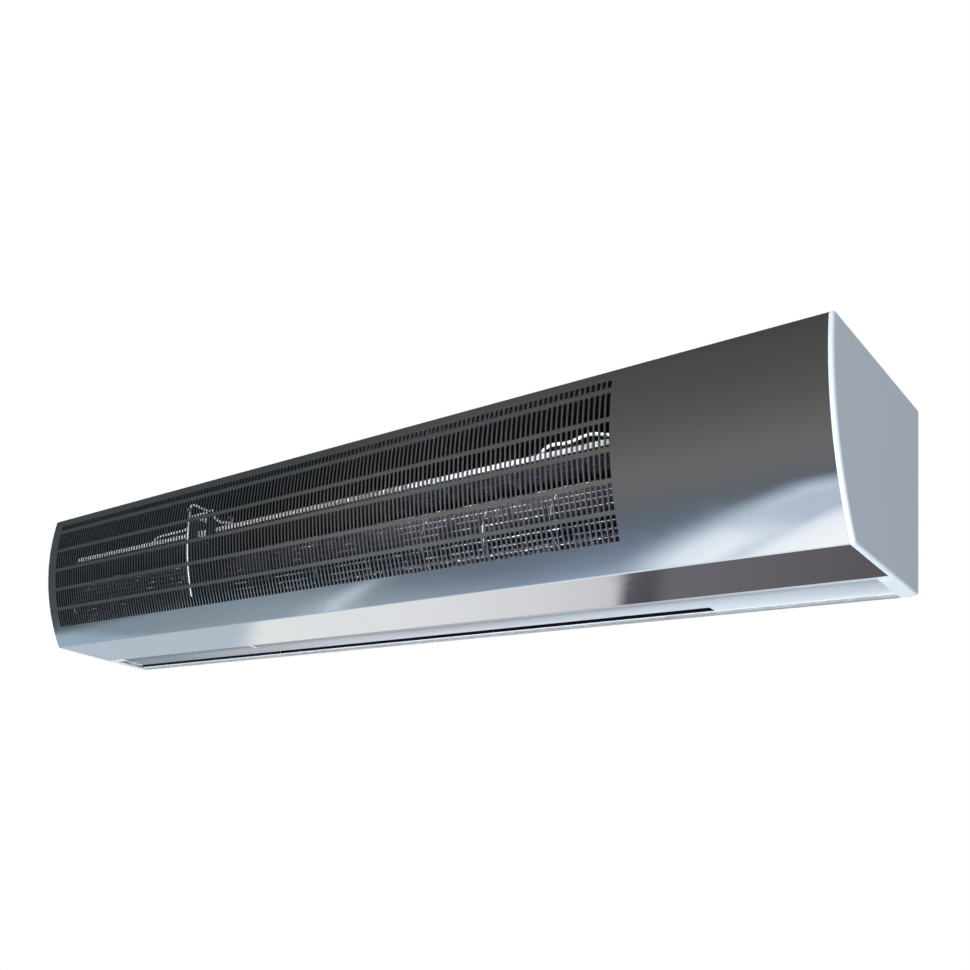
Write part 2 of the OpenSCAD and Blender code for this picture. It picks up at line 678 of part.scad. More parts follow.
// bell: rim, dished wall and a long hub in the rubber ring; side is -1 or 1
module motor_bell(side) {
  rim = motor_d/2 - 2;
  z0 = stator_l/2;
  z1 = motor_l/2;
  end = bracket_l/2 - leg_t/2 + ring_l/2;
  color("silver") in_frame()
    translate([motor_x, fan_c[0], fan_c[1]]) rotate([0, side*90, 0]) rotate_extrude($fn = 96) polygon([
      [rim - 2.5, z0], [rim, z0], [rim, z1 - 3], [rim - 3, z1], [ring_in, z1], [ring_in, end],
      [shaft_r + 0.05, end], [shaft_r + 0.05, z1 - 3], [rim - 5, z1 - 3], [rim - 2.5, z1 - 5.5]
    ]);
}
module motor_bell_left() { motor_bell(-1); }
module motor_bell_right() { motor_bell(1); }

// grooved rubber rings seat the hubs in the bracket's legs
module motor_rubber_rings() {
  color([0.12, 0.12, 0.12]) in_frame() for (x = [leg_a + leg_t/2, leg_b - leg_t/2])
    translate([x, fan_c[0], fan_c[1]]) rotate([0, 90, 0]) rotate_extrude($fn = 96) polygon([
      [ring_in + fit, -ring_l/2], [ring_out, -ring_l/2], [ring_out, -leg_t/2 - fit],
      [ring_groove, -leg_t/2 - fit], [ring_groove, leg_t/2 + fit], [ring_out, leg_t/2 + fit],
      [ring_out, ring_l/2], [ring_in + fit, ring_l/2]
    ]);
}

// ---------------------------------------------------------------- rotor

module motor_shaft() {
  color("silver") in_frame() {
    rod(left_b - hub_l + 1, right_a + hub_l - 1, shaft_r);
    rod(motor_x - stator_l/2 + 2, motor_x + stator_l/2 - 2, core_r);
  }
}

// curved blade in the ring between the inner and the outer radius
module blade_section() {
  bend_r = blade_depth*0.9;
  intersection() {
    difference() {
      circle(r = imp_r - 0.6, $fn = 96);
      circle(r = imp_r - blade_depth, $fn = 96);
    }
    translate([imp_r - blade_depth*0.35, bend_r*0.85]) difference() {
      circle(r = bend_r + blade_t/2, $fn = 48);
      circle(r = bend_r - blade_t/2, $fn = 48);
    }
    translate([0, -imp_r/2]) square([2*imp_r, imp_r/2 + bend_r*0.75]);
  }
}

// blades, stiffening rings every ring_pitch from the motor end, and a disc with a hub at each end
module impeller(x_motor, x_outer) {
  dir = sign(x_outer - x_motor);
  l = abs(x_outer - x_motor);
  color("dimgray") in_frame() translate([x_motor, fan_c[0], fan_c[1]]) rotate([0, dir*90, 0]) {
    difference() {
      union() {
        translate([0, 0, disc_t/2]) linear_extrude(l - disc_t)
          for (k = [0:blade_count - 1]) rotate(k*360/blade_count) blade_section();
        for (z = [0, l - disc_t]) translate([0, 0, z]) cylinder(r = imp_r, h = disc_t, $fn = 96);
        for (z = [0, l - hub_l]) translate([0, 0, z]) cylinder(r = hub_r, h = hub_l, $fn = 64);
        for (z = [ring_pitch:ring_pitch:l - 12]) translate([0, 0, z]) difference() {
          cylinder(r = imp_r, h = 1.5, $fn = 96);
          translate([0, 0, -eps]) cylinder(r = imp_r - blade_depth - 1, h = 4, $fn = 96);
        }
      }
      translate([0, 0, -eps]) cylinder(r = shaft_r + fit, h = hub_l + 2*eps, $fn = 64);
      translate([0, 0, l - hub_l - eps]) cylinder(r = shaft_r + fit, h = hub_l + 2*eps, $fn = 64);
      for (z = [hub_l/2, l - hub_l/2]) translate([0, 0, z]) rotate([0, 90, 0])
        cylinder(r = hub_screw_r, h = hub_r + eps, $fn = 24);
    }
  }
}
module impeller_left() { impeller(left_b, left_a); }
module impeller_right() { impeller(right_a, right_b); }

module stub_shaft_left() {
  color("silver") in_frame() rod(-plate_x + carrier_left_l - bearing_l - 2, left_a + hub_l - 1, shaft_r);
}
module stub_shaft_right() {
  color("silver") in_frame() rod(right_b - hub_l + 1, fan_x1 + 1, shaft_r);
}

// grub screws that clamp the hubs on the shafts
module hub_screws() {
  reach = hub_r - shaft_r - 0.1;
  color("dimgray") in_frame() {
    for (x = [left_a + hub_l/2, left_b - hub_l/2]) translate([x, fan_c[0], fan_c[1] + hub_r - reach])
      cylinder(r = hub_screw_r - fit, h = reach, $fn = 24);
    for (x = [right_a + hub_l/2, right_b - hub_l/2]) translate([x, fan_c[0], fan_c[1] - hub_r])
      cylinder(r = hub_screw_r - fit, h = reach, $fn = 24);
  }
}

// ---------------------------------------------------------------- bearings

carrier_angles = [90, 210, 330];
carrier_screw_r = 1.5;
function carrier_point(a) = fan_c + 25*[cos(a), sin(a)];

// flange on the plate's fan side, and a sleeve that reaches to the bearing; dir points away from the plate
module bearing_carrier(x_plate, dir, l) {
  color("gainsboro") in_frame() difference() {
    union() {
      rod(min(x_plate, x_plate + dir*2), max(x_plate, x_plate + dir*2), carrier_flange);
      rod(min(x_plate, x_plate + dir*l), max(x_plate, x_plate + dir*l), carrier_r);
    }
    rod(min(x_plate, x_plate + dir*l) - eps, max(x_plate, x_plate + dir*l) + eps, seat_r);
    for (a = carrier_angles)
      rod(min(x_plate, x_plate + dir*2) - eps, max(x_plate, x_plate + dir*2) + eps, carrier_screw_r + fit,
          carrier_point(a), 32);
  }
}
module bearing_carrier_left() { bearing_carrier(-plate_x, 1, carrier_left_l); }
module bearing_carrier_right() { bearing_carrier(fan_x1, -1, bearing_l); }

module carrier_screws() {
  color("silver") in_frame() for (a = carrier_angles) {
    translate([-plate_x + 2, carrier_point(a)[0], carrier_point(a)[1]]) rotate([0, 90, 0])
      pan_screw(carrier_screw_r, 5, 2.8, 1.8);
    translate([fan_x1 - 2, carrier_point(a)[0], carrier_point(a)[1]]) rotate([0, -90, 0])
      pan_screw(carrier_screw_r, 5, 2.8, 1.8);
  }
}

bearing_left_x = -plate_x + carrier_left_l - bearing_l;
bearing_right_x = fan_x1 - bearing_l;
module sleeve(x, r_in, r_out) {
  difference() {
    rod(x, x + bearing_l, r_out);
    rod(x - eps, x + bearing_l + eps, r_in);
  }
}
module rubber_seat_left() {
  color([0.12, 0.12, 0.12]) in_frame() sleeve(bearing_left_x, bearing_r + fit, seat_r - fit);
}
module rubber_seat_right() {
  color([0.12, 0.12, 0.12]) in_frame() sleeve(bearing_right_x, bearing_r + fit, seat_r - fit);
}
module bearing_left() { color("peru") in_frame() sleeve(bearing_left_x, shaft_r + shaft_play, bearing_r); }
module bearing_right() { color("peru") in_frame() sleeve(bearing_right_x, shaft_r + shaft_play, bearing_r); }

// ---------------------------------------------------------------- heater

fin_t = 0.8;
bend_in = 0.5;
support_edge = 7.5;     // the straps' metal round the legs
// fins stand clear of the bracket's legs and of the supports
function fin_ok(x) = abs(x - leg_a - leg_t/2) > 4 && abs(x - leg_b + leg_t/2) > 4;
fin_x = [for (x = [heater_a + 14:fin_pitch:fan_x1 - 8]) if (fin_ok(x)) x];
support_x = [for (s = [round(len(fin_x)*0.16), round(len(fin_x)*0.55), round(len(fin_x)*0.8)])
  (fin_x[s] + fin_x[s + 1])/2];

// one finned leg, from the bend to its terminal
module heater_leg(p) {
  translate([0, p[0], p[1]]) rotate([90, 0, 90])
    rotate_extrude($fn = 48) polygon(concat(
      [[0, heater_a], [heater_r, heater_a]],
      [for (x = fin_x) each [[heater_r, x - fin_t/2], [fin_d/2, x - fin_t/2], [fin_d/2, x + fin_t/2],
        [heater_r, x + fin_t/2]]],
      [[heater_r, heater_b], [2.2, heater_b], [2.2, heater_b + 9], [0, heater_b + 9]]
    ));
}
module heater_element() {
  color("silver") in_frame() {
    heater_leg(leg_1);
    heater_leg(leg_2);
    mid = (leg_1 + leg_2)/2;
    // the bend's ends reach into the legs
    translate([heater_a + bend_in, mid[0], mid[1]]) rotate([leg_tilt, 0, 0]) rotate([0, 0, 90])
      rotate_extrude(angle = 180, $fn = 64) translate([leg_gap/2, 0]) circle(r = heater_r - 0.05, $fn = 32);
  }
}

// plain straps from the scroll's rear wall hold both legs
module heater_supports() {
  along = [-sin(duct_a), cos(duct_a)];
  low = (leg_2 - fan_c)*along - support_edge;
  high = (leg_1 - fan_c)*along + support_edge;
  reach = scroll_r - (leg_1 - fan_c)*[cos(duct_a), sin(duct_a)] + support_edge;
  color("gainsboro") in_frame() for (x = support_x) difference() {
    along_x(x - scroll_t/2, x + scroll_t/2) translate(fan_c) rotate(duct_a)
      translate([scroll_r - reach, low]) square([reach, high - low]);
    for (p = [leg_1, leg_2]) rod(x - scroll_t, x + scroll_t, heater_r + 0.1, p, 48);
  }
}

// disc thermostat on the strip at the left end
module end_thermostat() {
  color([0.9, 0.9, 0.86]) in_frame() translate([thermostat_x, thermostat_y, strip_z + scroll_t]) {
    cylinder(r = 8, h = 6, $fn = 48);
    translate([0, 0, 6]) cylinder(r = 6.5, h = 4, $fn = 48);
    block([0, -3, 3], [10.7, 3, 9]);
  }
}

// ---------------------------------------------------------------- electrics

module electrics_plate() {
  x0 = board_x - 13;
  x1 = plate_x - 8;
  color("gainsboro") in_frame() {
    block([x0, e_plate_y, e_plate_z[0]], [x1, e_plate_y + sheet_t, e_plate_z[1]]);
    for (x = [x0, x1 - sheet_t])
      block([x, e_plate_y, e_plate_z[0]], [x + sheet_t, -sheet_t, e_plate_z[1]]);
  }
}

post_points = [for (x = [post_in, board_w - post_in], z = [post_in, board_h - post_in])
  [board_x + x, board_z + z]];
module board_posts() {
  color("white") in_frame() for (p = post_points)
    translate([p[0], e_plate_y, p[1]]) rotate([90, 0, 0]) cylinder(r = 3, h = post_l, $fn = 32);
}
module control_board() {
  color("darkgreen") in_frame()
    block([board_x, board_y, board_z], [board_x + board_w, board_y + board_t, board_z + board_h]);
}
// relays, transformer and two wire connectors
module board_parts() {
  color([0.15, 0.16, 0.2]) in_frame() {
    for (k = [0:2]) translate([board_x + relay_at[0] + k*relay_pitch, board_y, board_z + relay_at[1]])
      block([0, -relay[1], 0], [relay[0], 0, relay[2]]);
    translate([board_x + transformer_at[0], board_y, board_z + transformer_at[1]])
      block([0, -transformer[1], 0], [transformer[0], 0, transformer[2]]);
    for (x = plug_x) translate([x, board_y, plug_z])
      block([-plug_w/2, -plug_d, -plug_h/2], [plug_w/2, 0, plug_h/2]);
  }
}

cap_x = block_p[0] + 2;
can_r = 15;
can_z = 56;
can_l = 62;
module capacitor() {
  color("whitesmoke") in_frame() {
    rod(cap_x, cap_x + can_l, can_r, [e_plate_y - can_r - 1.2, can_z]);
    rod(cap_x + can_l, cap_x + can_l + 4, 5, [e_plate_y - can_r - 1.2, can_z], 32);
  }
}
module capacitor_strap() {
  c = [e_plate_y - can_r - 1.2, can_z];
  x = cap_x + can_l/2;
  color("silver") in_frame() difference() {
    union() {
      rod(x - 6, x + 6, can_r + 1.2, c);
      block([x - 6, e_plate_y - 2, can_z - can_r - 12], [x + 6, e_plate_y, can_z]);
    }
    rod(x - 7, x + 7, can_r + fit, c);
  }
}

module terminal_block() {
  color([0.92, 0.92, 0.88]) in_frame() difference() {
    translate(block_p) block([0, -block_s[1], 0], [block_s[0], 0, block_s[2]]);
    for (k = [0:5]) translate([pole_x(k), block_p[1] - block_s[1] + 7, block_p[2] + block_s[2]/2])
      rotate([90, 0, 0]) cylinder(r = 3, h = 9, $fn = 32);
  }
}
module terminal_screws() {
  color("silver") in_frame()
    for (k = [0:5]) translate([pole_x(k), block_p[1] - block_s[1] + 7, block_p[2] + block_s[2]/2])
      rotate([90, 0, 0]) difference() {
        cylinder(r = 2.9, h = 3, $fn = 32);
        translate([-3, -0.4, 2]) cube([6, 0.8, 2]);
      }
}

// manual-reset cut-out on the fan plate, with its button towards the end cap
cut_l = 13;
button_r = 2.4;
module cut_out() {
  x = fan_x1 + sheet_t;
  color("peru") in_frame() difference() {
    union() {
      block([x, cut_c[0] - 17, cut_c[1] - 6], [x + 1.5, cut_c[0] + 17, cut_c[1] + 6]);
      rod(x, x + cut_l, 8.5, cut_c);
      for (s = [-1, 1])
        block([x + 6, cut_c[0] - 3, cut_c[1] + s*10.5 - 2.5], [x + 7, cut_c[0] + 3, cut_c[1] + s*10.5 + 2.5]);
    }
    rod(x + cut_l - 7, x + cut_l + eps, button_r + 0.05, cut_c, 48);
    for (s = [-1, 1]) rod(x - eps, x + 3, 1.6, cut_c + [s*12, 0], 32);
  }
}
module reset_button() {
  x = fan_x1 + sheet_t + cut_l;
  color("firebrick") in_frame()
    rod(x - 7 + reset_travel + 0.3, x + reset_travel + 1.2, button_r, cut_c, 48);
}

// grooved rubber grommet in the fan plate
module wire_grommet() {
  color([0.12, 0.12, 0.12]) in_frame()
    translate([fan_x1 + sheet_t/2, grommet_c[0], grommet_c[1]]) rotate([0, 90, 0])
      rotate_extrude($fn = 64) polygon([
        [grommet_r - 2, -3], [grommet_r + 3, -3], [grommet_r + 3, -sheet_t/2 - fit],
        [grommet_r - fit, -sheet_t/2 - fit], [grommet_r - fit, sheet_t/2 + fit],
        [grommet_r + 3, sheet_t/2 + fit], [grommet_r + 3, 3], [grommet_r - 2, 3]
      ]);
}

// cable gland on the top panel
gland_hex = 13.8;
module cable_gland() {
  z = top_z + sheet_t;
  color([0.2, 0.2, 0.22]) in_frame() translate([gland_p[0], gland_p[1], 0]) difference() {
    union() {
      translate([0, 0, z - 12]) cylinder(r = gland_r, h = 12, $fn = 64);
      translate([0, 0, z]) cylinder(r = gland_hex, h = 7, $fn = 6);
      translate([0, 0, z + 7]) cylinder(r = gland_hex - 2.6, h = 5, $fn = 64);
      translate([0, 0, z + 12]) cylinder(r1 = gland_hex - 2.6, r2 = cable_d/2 + 2.5, h = 4, $fn = 64);
    }
    translate([0, 0, z - 13]) cylinder(r = cable_d/2, h = 40, $fn = 64);
  }
}
module gland_nut() {
  color([0.2, 0.2, 0.22]) in_frame() translate([gland_p[0], gland_p[1], top_z - 5.5]) difference() {
    cylinder(r = gland_hex, h = 5.5, $fn = 6);
    translate([0, 0, -eps]) cylinder(r = gland_r + fit, h = 8, $fn = 64);
  }
}

// ---------------------------------------------------------------- wires

module thermostat_cable() { color("white") in_frame() wire_tube(curve(thermostat_route, 3), wire_r); }
module motor_cable() { color("white") in_frame() wire_tube(curve(motor_route, 3), wire_r); }
module heater_cables() {
  color("white") in_frame() {
    wire_tube(curve(heater_route_1, 4), wire_r);
    wire_tube(curve(heater_route_2, 4), wire_r);
  }
}

back_panel();
top_panel();
bottom_tray();
left_end_plate();
right_end_plate();
fan_plate();
front_cover();
cover_screws();
cover_clips();
left_end_cap();
right_end_cap();
cap_screws();
scroll_left();
scroll_right();
tongue_left();
tongue_right();
motor_bracket();
motor_stator();
motor_bell_left();
motor_bell_right();
motor_rubber_rings();
motor_shaft();
impeller_left();
impeller_right();
stub_shaft_left();
stub_shaft_right();
hub_screws();
bearing_carrier_left();
bearing_carrier_right();
carrier_screws();
rubber_seat_left();
rubber_seat_right();
bearing_left();
bearing_right();
heater_element();
heater_supports();
end_thermostat();
electrics_plate();
control_board();
board_posts();
board_parts();
capacitor();
capacitor_strap();
terminal_block();
terminal_screws();
cut_out();
reset_button();
wire_grommet();
cable_gland();
gland_nut();
thermostat_cable();
motor_cable();
heater_cables();
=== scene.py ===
"""Wall-hung air curtain: a polished, punched cover over two cross-flow impellers.

The camera and the studio come first, then one class per sub-assembly builds its pieces round the
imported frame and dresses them. Lengths are metres in the frame of the solids: X runs along the unit,
-Y is its front, +Z is up, and the origin lies on the wall in the middle of the four wall screws.
"""

import json
import logging
import math
from dataclasses import dataclass
from enum import Enum
from typing import ClassVar, Optional, Sequence

import bmesh
import bpy
import numpy as np
from mathutils import Matrix, Vector

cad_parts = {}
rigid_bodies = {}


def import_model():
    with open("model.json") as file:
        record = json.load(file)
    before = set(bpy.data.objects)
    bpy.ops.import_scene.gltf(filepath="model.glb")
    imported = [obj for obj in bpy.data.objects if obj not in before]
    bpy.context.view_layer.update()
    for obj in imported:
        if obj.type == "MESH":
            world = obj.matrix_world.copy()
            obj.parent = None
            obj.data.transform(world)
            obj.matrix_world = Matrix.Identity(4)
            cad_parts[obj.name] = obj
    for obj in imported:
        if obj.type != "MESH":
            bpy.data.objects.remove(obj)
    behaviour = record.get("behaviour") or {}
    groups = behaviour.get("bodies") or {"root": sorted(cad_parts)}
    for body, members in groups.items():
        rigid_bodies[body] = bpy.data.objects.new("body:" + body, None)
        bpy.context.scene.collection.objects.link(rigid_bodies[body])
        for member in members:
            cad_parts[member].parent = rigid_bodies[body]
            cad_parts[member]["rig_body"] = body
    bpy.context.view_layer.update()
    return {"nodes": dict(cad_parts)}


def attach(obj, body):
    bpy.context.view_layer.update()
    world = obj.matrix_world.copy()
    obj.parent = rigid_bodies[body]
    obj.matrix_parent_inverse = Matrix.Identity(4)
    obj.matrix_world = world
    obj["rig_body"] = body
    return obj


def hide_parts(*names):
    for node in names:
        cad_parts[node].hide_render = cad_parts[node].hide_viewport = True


log = logging.getLogger("air_curtain")

MM = 0.001
FLOOR_Z = -2.2              # the floor, a door's height under the unit
CASING_Z = -0.180           # underside of the casing; the wires' heights count from here
FAN_AXIS = (-0.14, -0.096)  # Y and Z of the fans' axis
# the next three bounds also mark where the sheets carry painted shade inside the casing
INSIDE_REAR_Y = -0.0004     # what lies behind this faces the wall
INSIDE_TOP_Z = 0.0392       # what lies over this is the casing's upper side
INSIDE_UNDER_Z = -0.1768    # what lies under this is the casing's underside
SHARP_ANGLE = 32.0          # degrees; edges with a larger turn stay sharp
Colour = tuple[float, float, float]
Place = tuple[float, float, float]
Stops = tuple[tuple[float, Colour], ...]


# ------------------------------------------------------------------ colours and node graphs


def srgb(red: float, green: float, blue: float) -> tuple[float, float, float, float]:
    """Turns screen values of 0 to 255 into linear light.

    Args:
        red, green, blue: what a screen shows for the colour.

    Returns:
        Linear red, green and blue, with an alpha of 1.
    """
    screen = np.array([red, green, blue], float) / 255.0
    light = np.where(screen <= 0.04045, screen / 12.92, ((screen + 0.055) / 1.055) ** 2.4)
    return (float(light[0]), float(light[1]), float(light[2]), 1.0)


class Graph:
    """Places shader nodes in a tree and joins them."""

    def __init__(self, tree: bpy.types.NodeTree) -> None:
        """Keeps the tree that the nodes go into."""
        self.tree = tree

    def add(self, kind: str, **settings: object) -> bpy.types.Node:
        """Adds one node.

        Args:
            kind: the node's type, without the ShaderNode prefix.
            settings: the node's own properties.

        Returns:
            The new node.
        """
        node = self.tree.nodes.new("ShaderNode" + kind)
        for key, value in settings.items():
            setattr(node, key, value)
        return node

    def feed(self, socket: bpy.types.NodeSocket, value: object) -> None:
        """Joins an output to a socket, or sets the socket to a number or colour.

        Args:
            socket: the node's input.
            value: an output, a number or a colour.
        """
        if isinstance(value, bpy.types.NodeSocket):
            self.tree.links.new(value, socket)
        else:
            socket.default_value = value

    @staticmethod
    def fed(socket: bpy.types.NodeSocket) -> bpy.types.NodeSocket:
        """The output that a socket is joined to."""
        return socket.links[0].from_socket

    def where(self) -> bpy.types.NodeSocket:
        """The place on the object, in its own metres."""
        return self.add("TexCoord").outputs["Object"]

    def axes(self, vector: bpy.types.NodeSocket) -> Sequence[bpy.types.NodeSocket]:
        """The x, y and z of a vector.

        Args:
            vector: the output that gives the vector.

        Returns:
            Its three parts, each as an output.
        """
        split = self.add("SeparateXYZ")
        self.feed(split.inputs[0], vector)
        return split.outputs

    def stretched(self, vector: bpy.types.NodeSocket, scale: Place) -> bpy.types.NodeSocket:
        """A vector times a scale for each axis.

        Args:
            vector: the output that gives the vector.
            scale: what x, y and z are multiplied by.

        Returns:
            The scaled vector.
        """
        mapping = self.add("Mapping")
        mapping.inputs["Scale"].default_value = scale
        self.feed(mapping.inputs["Vector"], vector)
        return mapping.outputs[0]

    def noise(self, vector: bpy.types.NodeSocket, scale: object, detail: float) -> bpy.types.NodeSocket:
        """A soft noise of 0 to 1.

        Args:
            vector: the place where the noise is read.
            scale: how fine it is, as a number or an output.
            detail: how many finer layers it has.

        Returns:
            The noise's value.
        """
        noise = self.add("TexNoise")
        self.feed(noise.inputs["Vector"], vector)
        self.feed(noise.inputs["Scale"], scale)
        self.feed(noise.inputs["Detail"], detail)
        return noise.outputs[0]

    def math(self, operation: str, a: object, b: object = None,
             clamp: bool = False) -> bpy.types.NodeSocket:
        """One Math node on one or two values.

        Args:
            operation: what the node works out.
            a, b: its values, each a number or an output, with no b where one value will do.
            clamp: True to hold the result between 0 and 1.

        Returns:
            The result.
        """
        node = self.add("Math", operation=operation, use_clamp=clamp)
        self.feed(node.inputs[0], a)
        if b is not None:
            self.feed(node.inputs[1], b)
        return node.outputs[0]

    def span(self, value: object, low: float, high: float, to_low: float = 0.0, to_high: float = 1.0,
             smooth: bool = True) -> bpy.types.NodeSocket:
        """Maps low..high to to_low..to_high, held at the ends.

        Args:
            value: the number or output that is mapped.
            low, high: where the change starts and where it is complete.
            to_low, to_high: the results at those two.
            smooth: True for an eased change, False for a straight one.

        Returns:
            The mapped value.
        """
        node = self.add("MapRange", interpolation_type="SMOOTHSTEP" if smooth else "LINEAR")
        for socket, number in zip(node.inputs, (value, low, high, to_low, to_high)):
            self.feed(socket, number)
        return node.outputs[0]

    def within(self, value: object, low: float, high: float) -> bpy.types.NodeSocket:
        """A mask that is 1 where a value lies between low and high."""
        over = self.math("GREATER_THAN", value, low)
        return self.math("MULTIPLY", over, self.math("LESS_THAN", value, high))

    def mix(self, factor: object, first: object, second: object) -> bpy.types.NodeSocket:
        """Mixes two colours.

        Args:
            factor: 0 gives the first colour and 1 the second.
            first, second: the colours, each a value or an output.

        Returns:
            The mixed colour.
        """
        node = self.add("Mix", data_type="RGBA")
        self.feed(node.inputs[0], factor)
        self.feed(node.inputs[6], first)
        self.feed(node.inputs[7], second)
        return node.outputs[2]

    def ramp(self, value: object, stops: Stops) -> bpy.types.NodeSocket:
        """A colour ramp from its first stop to its last.

        Args:
            value: the output that drives the ramp.
            stops: pairs of driving value and screen colour, in rising order.

        Returns:
            The ramp's colour.
        """
        low, high = stops[0][0], stops[-1][0]
        node = self.add("ValToRGB")
        self.feed(node.inputs[0], self.span(value, low, high, smooth=False))
        elements = node.color_ramp.elements
        for index, (at, colour) in enumerate(stops):
            place = (at - low) / (high - low)
            stop = elements[index] if index < 2 else elements.new(place)
            stop.position = place
            stop.color = srgb(*colour)
        return node.outputs[0]


# ------------------------------------------------------------------ camera and studio


@dataclass(frozen=True)
class Viewpoint:
    """The camera: low in front of the right-hand end, looking up at the unit."""

    place: Place = (1.1283, -1.0541, -0.5436)
    right: Place = (0.79477, 0.59764, 0.10568)
    up: Place = (0.11154, -0.31500, 0.94251)
    back: Place = (0.59657, -0.73729, -0.31702)
    sensor: float = 36.0
    lens: float = 38.78
    shift: tuple[float, float] = (-0.0885, 0.0846)
    clip: tuple[float, float] = (0.05, 60.0)

    def build(self) -> None:
        """Makes the camera, and shows colours as they are written."""
        data = bpy.data.cameras.new("view_from_below")
        data.sensor_width, data.lens = self.sensor, self.lens
        data.shift_x, data.shift_y = self.shift
        data.clip_start, data.clip_end = self.clip
        camera = bpy.data.objects.new("view_from_below", data)
        bpy.context.scene.collection.objects.link(camera)
        turn = Matrix((self.right, self.up, self.back)).transposed().to_4x4()
        camera.matrix_world = Matrix.Translation(self.place) @ turn
        bpy.context.scene.camera = camera
        bpy.context.scene.view_settings.view_transform = "Standard"


@dataclass(frozen=True)
class Lamp:
    """A square soft box that faces its target and shows nowhere but in its light."""

    name: str
    place: Place
    size: float
    power: float
    target: Place = (0.0, -0.1, -0.05)
    spread: float = 180.0

    def build(self) -> None:
        """Makes the lamp, hidden from the camera and from polished metal."""
        data = bpy.data.lights.new(self.name, "AREA")
        data.shape, data.size, data.energy = "SQUARE", self.size, self.power
        data.spread = math.radians(self.spread)
        lamp = bpy.data.objects.new(self.name, data)
        bpy.context.scene.collection.objects.link(lamp)
        lamp.location = self.place
        aim = Vector(self.target) - Vector(self.place)
        lamp.rotation_mode = "QUATERNION"
        lamp.rotation_quaternion = aim.to_track_quat("-Z", "Y")
        lamp.visible_glossy = False
        lamp.visible_camera = False


